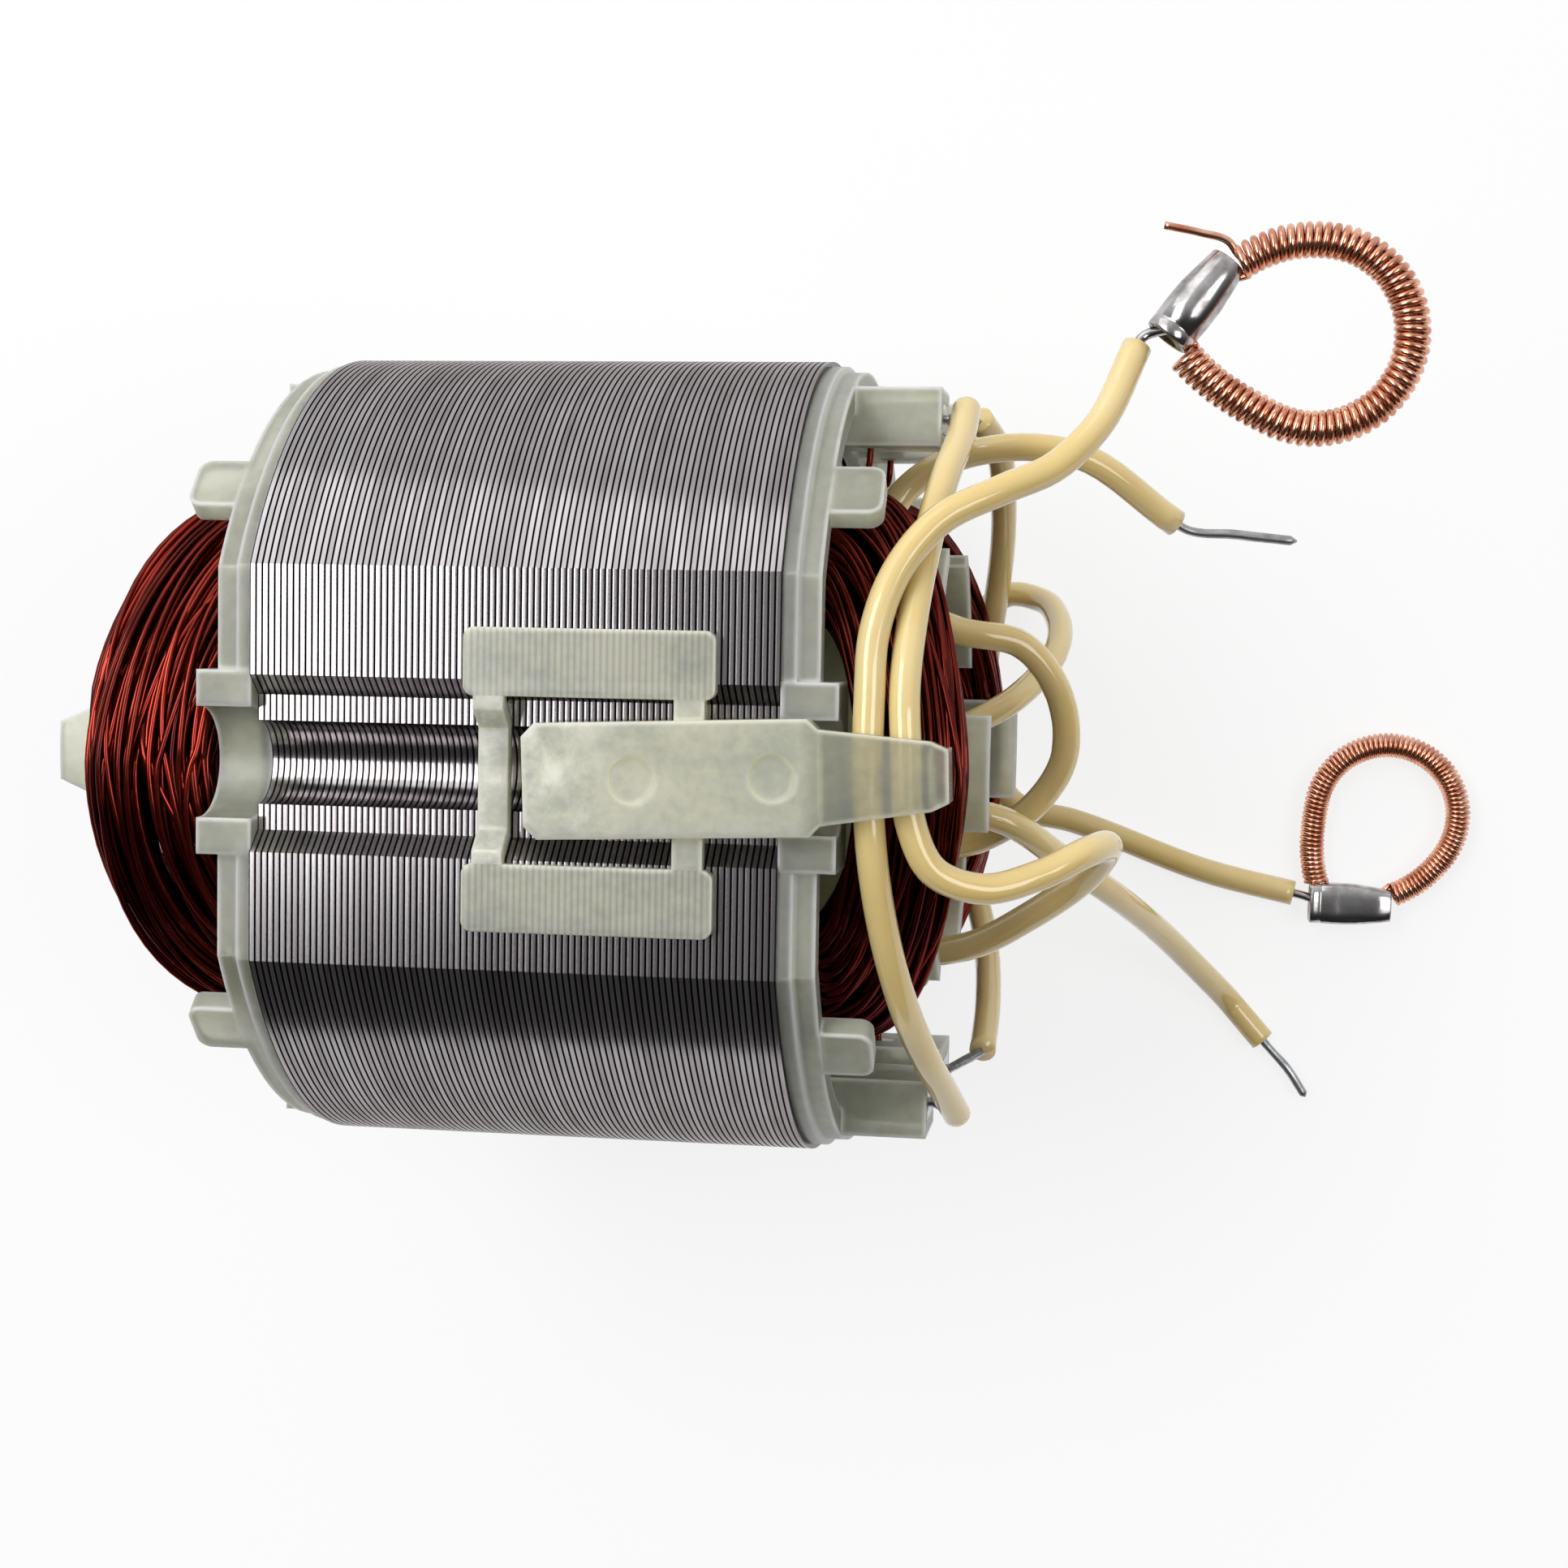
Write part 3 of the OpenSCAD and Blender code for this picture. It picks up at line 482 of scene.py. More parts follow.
def spline(points: np.ndarray, per_span: int) -> np.ndarray:
    """Draws one smooth curve through points.

    Each span is a cubic whose slopes at its two ends are the chord slopes on either side,
    weighted so that the nearer point counts more.

    Args:
        points: The points that it passes, one row each.
        per_span: Steps on each span.

    Returns:
        The points of the curve, one row each.
    """
    chord = np.diff(points, axis=0)
    span = np.linalg.norm(chord, axis=1, keepdims=True)
    slope = chord / span
    middle = (slope[:-1] * span[1:] + slope[1:] * span[:-1]) / (span[:-1] + span[1:])
    slopes = np.vstack([slope[:1], middle, slope[-1:]])
    t = np.linspace(0, 1, per_span, endpoint=False)[None, :, None]
    p, q = points[:-1, None], points[1:, None]
    m, n = slopes[:-1, None] * span[:, None], slopes[1:, None] * span[:, None]
    curve = ((2 * t**3 - 3 * t**2 + 1) * p + (t**3 - 2 * t**2 + t) * m
             + (3 * t**2 - 2 * t**3) * q + (t**3 - t**2) * n)
    return np.vstack([curve.reshape(-1, 3), points[-1:]])


def sweep(paths: np.ndarray, radii: np.ndarray | float, sides: int, guide: np.ndarray,
          closed: bool = False) -> Shape:
    """Carries a round profile along one or more paths.

    Each path point p gets the ring p + r (n cos a + b sin a). n is the guide direction made
    square to the path and b is square to both.

    Args:
        paths: Points of the paths: path, point, coordinate.
        radii: The tube's radius, one for all or one for each point.
        sides: Points in a ring.
        guide: A direction for each point, or one for all.
        closed: True where each path joins its own start.

    Returns:
        The tubes, with capped ends unless they are closed.
    """
    tubes, points, _ = paths.shape
    if closed:
        way = unit(np.roll(paths, -1, axis=1) - np.roll(paths, 1, axis=1))
    else:
        way = unit(np.gradient(paths, axis=1))
    side = np.broadcast_to(guide, paths.shape)
    side = unit(side - np.sum(side * way, axis=-1, keepdims=True) * way)
    across = np.cross(way, side)
    angle = np.linspace(0, 2 * np.pi, sides, endpoint=False)[:, None]
    ring = np.cos(angle) * side[:, :, None] + np.sin(angle) * across[:, :, None]
    size = np.broadcast_to(radii, (tubes, points))[:, :, None, None]
    vertices = (paths[:, :, None] + size * ring).reshape(-1, 3)
    index = np.arange(len(vertices)).reshape(tubes, points, sides)
    start = index if closed else index[:, :-1]
    end = np.roll(index, -1, axis=1) if closed else index[:, 1:]
    quads = np.stack([start, np.roll(start, -1, axis=2), np.roll(end, -1, axis=2), end], axis=-1)
    caps = [] if closed else [index[:, 0, ::-1], index[:, -1]]
    return vertices, [quads.reshape(-1, 4), *caps]


def revolve(profile: np.ndarray, start: np.ndarray, way: np.ndarray, sides: int,
            flatness: np.ndarray | float = 1.0, power: float = 1.0) -> Shape:
    """Turns a profile about a straight axis, with its round sections pressed if wanted.

    A profile point at distance d and radius r gives start + d way + r (n c + f b s). c and s are
    the angle's cos and sin, raised to a power: one is round, less is squarer.

    Args:
        profile: Distance along the axis and radius, one row for each point.
        start: Where the axis starts.
        way: The axis's direction.
        sides: Points in a ring.
        flatness: Height of the sections against their width, one for all or for each point.
        power: The power of cos and sin.

    Returns:
        The turned shape, with capped ends.
    """
    way = unit(way)
    side = unit(np.cross(way, Axis.UP.value))
    up = np.cross(side, way)
    angle = np.linspace(0, 2 * np.pi, sides, endpoint=False)[:, None]
    c, s = (np.sign(v) * np.abs(v) ** power for v in (np.cos(angle), np.sin(angle)))
    squash = np.broadcast_to(flatness, len(profile))[:, None, None]
    ring = squash * s * up - c * side
    vertices = (start + profile[:, :1, None] * way + profile[:, 1:, None] * ring).reshape(-1, 3)
    index = np.arange(len(vertices)).reshape(len(profile), sides)
    a, b = index[:-1], index[1:]
    quads = np.stack([a, np.roll(a, -1, axis=1), np.roll(b, -1, axis=1), b], axis=-1)
    return vertices, [quads.reshape(-1, 4), np.stack([index[0, ::-1], index[-1]])]


def join(*shapes: Shape) -> Shape:
    """Puts shapes together as one.

    Args:
        *shapes: The shapes.

    Returns:
        One shape with all their vertices and faces.
    """
    starts = np.cumsum([0] + [len(vertices) for vertices, _ in shapes])
    blocks = [block + start for start, (_, own) in zip(starts, shapes) for block in own]
    return np.vstack([vertices for vertices, _ in shapes]), blocks


def add_piece(name: str, shape: Shape, material: Material,
              nodes: tuple[str, ...] = ()) -> Piece:
    """Makes a smooth mesh object that rides on the stator.

    Args:
        name: The piece's name.
        shape: Its shape, in millimetres.
        material: The material of that finish.
        nodes: CAD nodes that it stands for.

    Returns:
        The object.
    """
    vertices, blocks = shape
    faces = [face for block in blocks for face in block.tolist()]
    mesh = bpy.data.meshes.new(name)
    mesh.from_pydata((vertices * MM).tolist(), [], faces)
    mesh.shade_smooth()
    mesh.materials.append(material)
    piece = bpy.data.objects.new(name, mesh)
    bpy.context.scene.collection.objects.link(piece)
    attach(piece, BODY)
    if nodes:
        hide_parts(*nodes)
    log.info("%s: %d faces", name, len(faces))
    return piece


def dress(node: str, material: Material) -> None:
    """Gives a CAD node its material.

    Args:
        node: The node's name.
        material: The material.
    """
    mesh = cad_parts[node].data
    mesh.materials.clear()
    mesh.materials.append(material)
    log.info("%s dressed in %s", node, material.name)


@dataclass
class Core:
    """The lamination stack, its slot films, the end insulators and the lead clip."""

    steel: LaminationSteel = LaminationSteel("sheared_lamination_steel", "lamination_steel")
    nylon: MouldedNylon = MouldedNylon("natural_nylon", "nylon")
    # Yellower, smoother and less clear than the insulators' nylon, except at its strap.
    clip_nylon: ClipNylon = ClipNylon(
        "clear_nylon", "nylon", pale="#F8F6E0", deep="#DCDFD0", edge="#F6F2D2", clear=0.55,
        cloud=5.0, frost=0.9, edge_r=0.7, smooth=0.1, coarse=0.3)
    paper: SlotPaper = SlotPaper("slot_film", "slot_film")
    insulators: tuple[str, ...] = ("plain_end_insulator", "terminal_end_insulator")
    films: tuple[str, ...] = ("rear_upper_slot_film", "front_upper_slot_film",
                              "rear_lower_slot_film", "front_lower_slot_film")

    def build(self) -> None:
        """Dresses the CAD nodes of the core."""
        dress("lamination_stack", self.steel.material())
        nylon = self.nylon.material()
        for node in self.insulators:
            dress(node, nylon)
        dress("lead_clip", self.clip_nylon.material())
        paper = self.paper.material()
        for node in self.films:
            dress(node, paper)


@dataclass
class Winding:
    """The two saddle coils as separate turns of wire, with their ends at the terminals.

    Places across a coil's band and through its depth run from 0 to 1.
    """

    finish: EnamelledWire = EnamelledWire("red_enamelled_wire", "enamelled_wire")
    wire_d: float = 0.55
    core_d: float = 1.7
    slot_x: float = 22.35
    first_turn: float = 26.35
    terminal_reach: float = 34.25
    plain_reach: float = 36.15
    angle_in: float = 30.1
    angle_out: float = 66.0
    slot_in_r: float = 22.35
    slot_out_r: float = 26.05
    end_in_r: float = 20.95
    end_out_r: float = 28.25
    first_square: float = 1.5
    last_square: float = 1.7
    half_band: float = 0.485
    half_depth: float = 0.47
    band_power: float = 0.62
    depth_power: float = 0.5
    skin_turns: int = 64
    under_turns: int = 54
    core_turns: int = 14
    under_inset: float = 0.07
    core_inset: float = 0.2
    stations: int = 48
    wire_sides: int = 6
    # How far the turns wander, then share, waves and phase of their bow and of their lift.
    wander: float = 0.12
    bow: Point = (0.7, 2.3, 3.0)
    lift: Point = (0.6, 1.7, 2.0)
    sink: float = 0.3
    band_limits: Span = (0.01, 0.99)
    depth_limits: Span = (0.02, 0.99)
    # Painted shade on the coils: how much redness a turn loses at the terminal end and at the
    # front.
    terminal_shade: float = 0.6
    front_shade: float = 0.45
    seed: int = 7
    tail_route: Route = ((22.625, 23.894, 11.286), (23.175, 24.094, 10.243), (24.3, 24.194, 8.4),
                         (24.65, 26.8, 8.0), (24.85, 27.9, 8.0))
    tail_steps: int = 8
    tail_sides: int = 10
    tail_guide: Point = (0.3, 0.2, 1.0)
    tail_tone: float = 0.35

    def section(self, turns: int, inset: float) -> tuple[np.ndarray, np.ndarray]:
        """Places turns round the coil's rounded section.

        The section is a squared ellipse: cos and sin raised to a power under one.

        Args:
            turns: Number of turns.
            inset: Step inside the skin, as a share of the section.

        Returns:
            The place of each turn across the band and through its depth.
        """
        angle = 2 * np.pi * (np.arange(turns) + 0.5) / turns
        across = np.sign(np.cos(angle)) * np.abs(np.cos(angle)) ** self.band_power
        depth = np.sign(np.sin(angle)) * np.abs(np.sin(angle)) ** self.depth_power
        return 0.5 + (self.half_band - inset) * across, 0.5 + (self.half_depth - inset) * depth

    def bend(self, across: np.ndarray, depth: np.ndarray, turn: np.ndarray, end: End) -> np.ndarray:
        """Leads every turn over one end of the stack.

        In plan a turn is a squared ellipse from slot to slot. It climbs from the slot's radius
        to the end turns' radius on the way.

        Args:
            across: Place across the band for each turn and station.
            depth: Place through the depth for each turn and station.
            turn: Angle of each station, from one slot to the other.
            end: The end of the stack.

        Returns:
            Points: turn, station, coordinate.
        """
        square = self.first_square + across * (self.last_square - self.first_square)
        out = np.maximum(np.cos(turn), 0) ** (2 / square)
        over = np.sign(np.sin(turn)) * np.abs(np.sin(turn)) ** (2 / square)
        farthest = self.terminal_reach if end is End.TERMINAL else self.plain_reach
        reach = self.first_turn + across * (farthest - self.first_turn)
        angle = np.radians(over * (self.angle_in + across * (self.angle_out - self.angle_in)))
        low = self.slot_in_r + out * (self.end_in_r - self.slot_in_r)
        high = self.slot_out_r + out * (self.end_out_r - self.slot_out_r)
        r = low + depth * (high - low)
        x = end.value * (self.slot_x + out * (reach - self.slot_x))
        return np.stack([x, r * np.sin(angle), r * np.cos(angle)], axis=-1)

    def turns(self, count: int, inset: float, random: np.random.Generator) -> np.ndarray:
        """Paths of one layer of turns that wander a little and cross each other.

        Over each end a turn drifts and bows across the band and lifts through its depth, by
        sines of its angle that fade to nothing at the slots.

        Args:
            count: Number of turns.
            inset: Step inside the skin.
            random: Source of the wander.

        Returns:
            Points: turn, station, coordinate.
        """
        across, depth = (np.repeat(place[:, None], self.stations, axis=1)
                         for place in self.section(count, inset))
        half_round = np.linspace(np.pi / 2, -np.pi / 2, self.stations)[None, :]
        bow_share, bow_waves, bow_phase = self.bow
        lift_share, lift_waves, lift_phase = self.lift
        loops = []
        for end, angle in ((End.TERMINAL, half_round), (End.PLAIN, half_round[:, ::-1])):
            drift, bow, lift, phase = random.normal(0, 1, (4, count, 1))
            out = np.cos(angle)
            shift = self.wander * out * (
                drift * np.sin(angle)
                + bow_share * bow * np.sin(bow_waves * angle + bow_phase * phase))
            rise = lift_share * self.wander * out * (
                lift * np.cos(lift_waves * angle + lift_phase * phase) - self.sink)
            loops.append(self.bend(np.clip(across + shift, *self.band_limits),
                                   np.clip(depth + rise, *self.depth_limits), angle, end))
        return np.concatenate(loops, axis=1)

    def painted_shade(self, vertices: np.ndarray) -> np.ndarray:
        """Share of its redness that a turn keeps under painted shade, which darkens the coils
        towards the terminals and the front.

        The share falls in a straight line from the plain end to the terminal end, and from the
        middle towards the front.

        Args:
            vertices: Points on the turns.

        Returns:
            The share at each point.
        """
        to_terminals = np.clip(0.5 + vertices[:, 0] / (2 * self.slot_x), 0, 1)
        to_front = np.clip(-vertices[:, 1] / self.slot_in_r, 0, 1)
        return (1 - self.terminal_shade * to_terminals) * (1 - self.front_shade * to_front)

    def lay(self, node: str, pole: Pole, shape: Shape, tone: np.ndarray,
            material: Material) -> None:
        """Adds a piece of wire at its pole.

        The lower pole's wire is the upper pole's turned half round the rotor axis.

        Args:
            node: The CAD node that it stands for.
            pole: The pole.
            shape: The upper pole's wire.
            tone: Redness at each vertex, from 0 to 1, with painted shade on the coils.
            material: The wire's material.
        """
        vertices, blocks = shape
        turned = vertices * (1.0, pole.value, pole.value)
        piece = add_piece(f"{node}_wire", (turned, blocks), material, (node,))
        values = piece.data.attributes.new("turn_tone_and_shade", "FLOAT", "POINT")
        values.data.foreach_set("value", tone.astype(np.float32))

    def ends(self, pole: Pole, material: Material) -> None:
        """Adds the two wire ends of a coil, from its slots to the terminals.

        Args:
            pole: The coil's pole.
            material: The wire's material.
        """
        line = spline(np.array(self.tail_route), self.tail_steps)
        paths = np.stack([line, line * (1.0, -1.0, 1.0)])
        shape = sweep(paths, self.wire_d / 2, self.tail_sides, np.array(self.tail_guide))
        tone = np.full(len(shape[0]), self.tail_tone)
        self.lay(f"{pole.name.lower()}_coil_tails", pole, shape, tone, material)

    def build(self) -> None:
        """Winds both coils and lays their ends to the terminals."""
        random = np.random.default_rng(self.seed)
        material = self.finish.material()
        layers = (self.skin_turns, self.under_turns, self.core_turns)
        sizes = np.repeat([self.wire_d, self.wire_d, self.core_d], layers)
        for pole in Pole:
            paths = np.concatenate([self.turns(count, inset, random) for count, inset
                                    in zip(layers, (0.0, self.under_inset, self.core_inset))])
            outward = paths * (0.0, 1.0, 1.0)
            shape = sweep(paths, sizes[:, None] / 2, self.wire_sides, outward, closed=True)
            redness = random.uniform(0, 1, len(paths))
            # Random redness of each turn, times the painted shade.
            tone = np.repeat(redness, paths.shape[1] * self.wire_sides) * self.painted_shade(shape[0])
            self.lay(f"{pole.name.lower()}_coil", pole, shape, tone, material)
            self.ends(pole, material)


@dataclass
class Terminals:
    """The four folded terminals with their soldered tails."""

    # Bright grey tin with small darker spots.
    tinned: BareMetal = BareMetal("tinned_terminal", "tinned_metal", wear_and_edge_light="#7E8084", grain=0.6)
    nodes: tuple[str, ...] = ("rear_upper_terminal", "front_upper_terminal",
                              "rear_lower_terminal", "front_lower_terminal")

    def build(self) -> None:
        """Dresses the terminals."""
        material = self.tinned.material()
        for node in self.nodes:
            dress(node, material)


@dataclass(frozen=True)
class FerruleForm:
    """Place and press of one ferrule.

    The heights are those of its sections against their width, and the power squares them.
    """

    node: str
    base: Point
    way: Point
    end_height: float
    middle_height: float
    power: float


@dataclass(frozen=True)
class RingForm:
    """Place and sizes of one contact ring.

    The coil's middle line is an arc between two angles that flares out at both ends. The hooks
    are points inside the ferrule where the wire's ends go.
    """

    node: str
    centre: Point
    line_r: float
    coil_d: float
    angles: Span
    flares: Span
    turns: int
    wire_d: float
    hooks: tuple[Point, Point]
    loose_end: Route = ()


@dataclass
class Leads:
    """The four leads, their stripped ends and the contact rings on two of them."""

    pvc: LeadInsulation = LeadInsulation("cream_lead_pvc", "lead_pvc")
    # Dipped strands: dull, even grey.
    tin: BareMetal = BareMetal("tinned_strand", "tinned_metal", bright="#B4B6B8", wear_and_edge_light="#84868A",
                               grain=1.2, smooth=0.32, coarse=0.5)
    # Pressed ferrules: sharp bright reflections with brownish wear.
    crimp: BareMetal = BareMetal("bright_ferrule", "ferrule_metal", bright="#C4C2C3",
                                 wear_and_edge_light="#7F7977", grain=1.5, smooth=0.12, coarse=0.3)
    # Bare copper wire: salmon highlights with redder patches.
    copper: BareMetal = BareMetal("drawn_copper", "copper", bright="#EFB89C", wear_and_edge_light="#C0795B",
                                  grain=1.6, smooth=0.16, coarse=0.3)
    lead_d: float = 2.4
    lead_sides: int = 20
    lead_steps: int = 10
    lowest_line: float = -30.0
    guide_tries: int = 24

    conductor_d: float = 0.85
    conductor_sides: int = 14
    tip_from: float = 0.96
    tip_share: float = 0.041
    tip_r: float = 0.04
    thin_share: float = 0.9
    ripple: float = 0.03
    ripples: float = 11.0
    rear_bends: Route = ((55.2, 19.9, -4.6), (60.4, 19.4, -4.8))
    front_bends: Route = ((62.4, -31.0, -30.0), (64.3, -33.8, -30.0))

    ferrule_d: float = 4.0
    ferrule_len: float = 7.7
    ferrule_sides: int = 40
    grip: float = 1.2
    dent_at: float = 0.42
    dent_rise: float = 1.6
    neck_steps: int = 6
    neck_sides: int = 12
    upper_ferrule: FerruleForm = FerruleForm(
        "upper_ferrule", (48.7, 34.4, 16.2), (4.7, 6.1, -0.6), 0.95, 0.95, 1.0)
    lower_ferrule: FerruleForm = FerruleForm(
        "lower_ferrule", (64.0, -14.6, -29.2), (7.6, -0.1, 0.0), 0.78, 0.5, 0.55)

    flare_arc: float = 55.0
    turn_steps: int = 16
    ring_sides: int = 8
    hook_bow: float = 0.3
    hook_steps: int = 6
    loose_steps: int = 8
    loose_sides: int = 10
    upper_ring: RingForm = RingForm(
        "upper_contact_ring", (60.3, 34.8, 15.6), 7.3, 2.9, (137.5, -171.0), (0.9, 3.0), 62, 0.62,
        ((52.6, 39.4, 15.9), (49.3, 34.9, 16.0)),
        ((54.9, 40.3, 15.8), (54.1, 40.9, 16.0), (53.3, 41.9, 16.2), (51.1, 42.6, 16.2),
         (48.3, 43.2, 16.2)))
    lower_ring: RingForm = RingForm(
        "lower_contact_ring", (71.1, -5.9, -29.6), 6.7, 2.4, (226.0, -84.0), (2.6, 1.1), 84, 0.46,
        ((65.2, -14.4, -29.2), (70.4, -14.6, -29.2)))

    # The leads' routes from terminal to far end, in metres, as the cords take them.
    front_brush: Route = (
        (0.033, -0.0295, 0.008), (0.0323, -0.027, 0.012), (0.0312, -0.0232, 0.018),
        (0.0298, -0.018, 0.0238), (0.0286, -0.012, 0.0278), (0.0278, -0.006, 0.03),
        (0.0274, 0.0, 0.0305), (0.0274, 0.006, 0.0305), (0.0276, 0.011, 0.0298),
        (0.029, 0.0155, 0.0285), (0.032, 0.0195, 0.0268), (0.0365, 0.022, 0.0245),
        (0.0405, 0.024, 0.022), (0.0434, 0.027, 0.02), (0.0464, 0.0337, 0.0164))
    rear_supply: Route = (
        (0.0325, 0.0295, 0.008), (0.0324, 0.0272, 0.0115), (0.0317, 0.0236, 0.0173),
        (0.0309, 0.0182, 0.0235), (0.0303, 0.0125, 0.0276), (0.03, 0.0065, 0.03),
        (0.0303, 0.0015, 0.0305), (0.0307, -0.0032, 0.0305), (0.0324, -0.0068, 0.0298),
        (0.036, -0.0082, 0.0283), (0.04, -0.0073, 0.0264), (0.0436, -0.0056, 0.024),
        (0.0452, -0.0054, 0.02), (0.0436, -0.0082, 0.0156), (0.039, -0.012, 0.012),
        (0.0335, -0.0152, 0.0088), (0.029, -0.016, 0.006), (0.026, -0.0145, 0.0025),
        (0.026, -0.011, -0.001), (0.029, -0.0086, -0.0034), (0.034, -0.0071, -0.0036),
        (0.0384, -0.004, -0.002), (0.041, 0.0004, 0.0), (0.0406, 0.0056, 0.0016),
        (0.0374, 0.01, 0.0034), (0.0316, 0.0113, 0.0047), (0.0265, 0.014, 0.004),
        (0.0252, 0.018, 0.0024), (0.026, 0.022, 0.001), (0.0295, 0.0252, 0.0006),
        (0.035, 0.0268, 0.001), (0.0405, 0.0266, 0.0005), (0.05, 0.0208, -0.004))
    rear_brush: Route = (
        (0.0325, 0.03, -0.008), (0.0338, 0.028, -0.0115), (0.0342, 0.0235, -0.018),
        (0.0338, 0.018, -0.0236), (0.033, 0.013, -0.0272), (0.0322, 0.008, -0.0297),
        (0.032, 0.003, -0.03), (0.0326, -0.002, -0.03), (0.0355, -0.006, -0.03),
        (0.041, -0.0074, -0.03), (0.055, -0.0122, -0.03), (0.0625, -0.0138, -0.0296))
    front_supply: Route = (
        (0.034, -0.027, -0.009), (0.034, -0.0234, -0.0155), (0.033, -0.018, -0.0236),
        (0.031, -0.012, -0.0278), (0.0294, -0.0065, -0.0298), (0.0288, 0.0, -0.03),
        (0.029, 0.0065, -0.03), (0.0306, 0.0115, -0.03), (0.034, 0.0146, -0.03),
        (0.0374, 0.0142, -0.0276), (0.0394, 0.0122, -0.0226), (0.0393, 0.009, -0.0166),
        (0.036, 0.005, -0.0108), (0.031, 0.002, -0.0068), (0.0272, -0.0006, -0.0034),
        (0.027, -0.0028, 0.0004), (0.0306, -0.0038, 0.0028), (0.036, -0.005, 0.0026),
        (0.041, -0.0086, -0.002), (0.054, -0.0216, -0.0266), (0.057, -0.025, -0.03),
        (0.06, -0.0284, -0.03))

    def lead(self, node: str, route: Route,
             material: Material) -> None:
        """Args:
            node: The CAD node that it stands for.
            route: The lead's route.
            material: The insulation's material.
        """
        line = spline(np.array(route), self.lead_steps)
        line[:, 2] = np.maximum(line[:, 2], self.lowest_line * MM)
        shape = sweep(line[None] / MM, self.lead_d / 2, self.lead_sides, self.guide(line))
        piece = add_piece(f"{node}_insulation", shape, material, (node,))

    def guide(self, line: np.ndarray) -> np.ndarray:
        """Picks the direction that stays farthest from the line's own direction.

        Args:
            line: Points of the line.

        Returns:
            The direction, out of an even spread over half a sphere.
        """
        way = unit(np.gradient(line, axis=0))
        tilt = np.linspace(0, np.pi, self.guide_tries, endpoint=False)[:, None]
        turn = np.linspace(0, np.pi, self.guide_tries, endpoint=False)[None, :]
        choices = np.stack([np.sin(tilt) * np.cos(turn), np.sin(tilt) * np.sin(turn),
                            np.cos(tilt) + 0 * turn], axis=-1).reshape(-1, 3)
        return choices[np.argmin(np.abs(choices @ way.T).max(axis=1))]

    def conductor(self, route: Route, bends: np.ndarray, steps: int) -> np.ndarray:
        """Line of the bare conductor, which leaves its lead straight and then bends.

        Args:
            route: The lead's route.
            bends: Points that the conductor passes, in millimetres.
            steps: Steps on each span.

        Returns:
            The points of the line.
        """
        before, end = np.array(route[-2:]) / MM
        straight = end + self.conductor_d * unit(end - before)
        return spline(np.vstack([end, straight, bends]), steps)

    def stripped_end(self, node: str, route: Route, bends: Route, material: Material) -> Piece:
        """Adds the dipped conductor at a supply lead's end: a thin bar with a rounded tip.

        Its radius grows a little along it, with ripples, and falls to the tip as a quarter circle.

        Args:
            node: The CAD node that it stands for.
            route: The lead's route.
            bends: Points that the bar passes, in millimetres.
            material: Its material.

        Returns:
            The object.
        """
        line = self.conductor(route, np.array(bends), self.lead_steps)
        t = np.linspace(0, 1, len(line))
        past = np.clip(t - self.tip_from, 0, 1) / self.tip_share
        tip = np.sqrt(np.clip(1 - past**2, 0, 1))
        swell = self.thin_share + (1 - self.thin_share) * t + self.ripple * np.sin(self.ripples * t)
        radius = np.maximum(self.conductor_d / 2 * swell * tip, self.tip_r)
        shape = sweep(line[None], radius, self.conductor_sides, self.guide(line))
        return add_piece(f"{node}_tin", shape, material, (node,))

    def ferrule(self, form: FerruleForm, route: Route, material: Material) -> Piece:
        """Adds a crimped ferrule: a lipped sleeve that tapers to its tip, and its conductor.

        The sleeve's height falls to its middle height over a flat cosine about the dent.

        Args:
            form: Its place and press.
            route: The route of its lead.
            material: Its material.

        Returns:
            The object.
        """
        base, way = np.array(form.base), unit(np.array(form.way))
        r, end = self.ferrule_d / 2, self.ferrule_len
        # Distance and radius: in from the base's lip, along the sleeve, in again at the tip.
        profile = np.array([
            [0.5, 0.3], [0.1, 0.8 * r], [0, 0.88 * r], [0.08, 0.95 * r], [0.2, 0.97 * r],
            [0.95, 0.97 * r], [1.05, 0.93 * r], [1.15, 0.98 * r], [0.35 * end, r],
            [0.55 * end, 0.98 * r], [0.8 * end, 0.86 * r], [end - 0.1, 0.76 * r],
            [end, 0.72 * r], [end - 0.1, 0.66 * r], [end - 1.2, 0.6 * r], [end - 1.3, 0.1]])
        away = np.clip(profile[:, 0] / end - self.dent_at, -0.5, 0.5)
        dent = np.clip(self.dent_rise * np.cos(np.pi * away) + 1 - self.dent_rise, 0, 1)
        height = form.end_height + (form.middle_height - form.end_height) * dent
        neck = self.conductor(route, base + self.grip * way, self.neck_steps)
        shape = join(revolve(profile, base, way, self.ferrule_sides, height, form.power),
                     sweep(neck[None], self.conductor_d / 2, self.neck_sides,
                           np.array(Axis.UP.value)))
        return add_piece(f"{form.node}_sleeve", shape, material, (form.node,))

    def hook(self, start: np.ndarray, end: np.ndarray, arm: np.ndarray) -> np.ndarray:
        """Line of wire between the ferrule and the coil, bowed out along the coil's arm."""
        middle = (start + end) / 2 + self.hook_bow * arm
        return spline(np.stack([start, middle, end]), self.hook_steps)

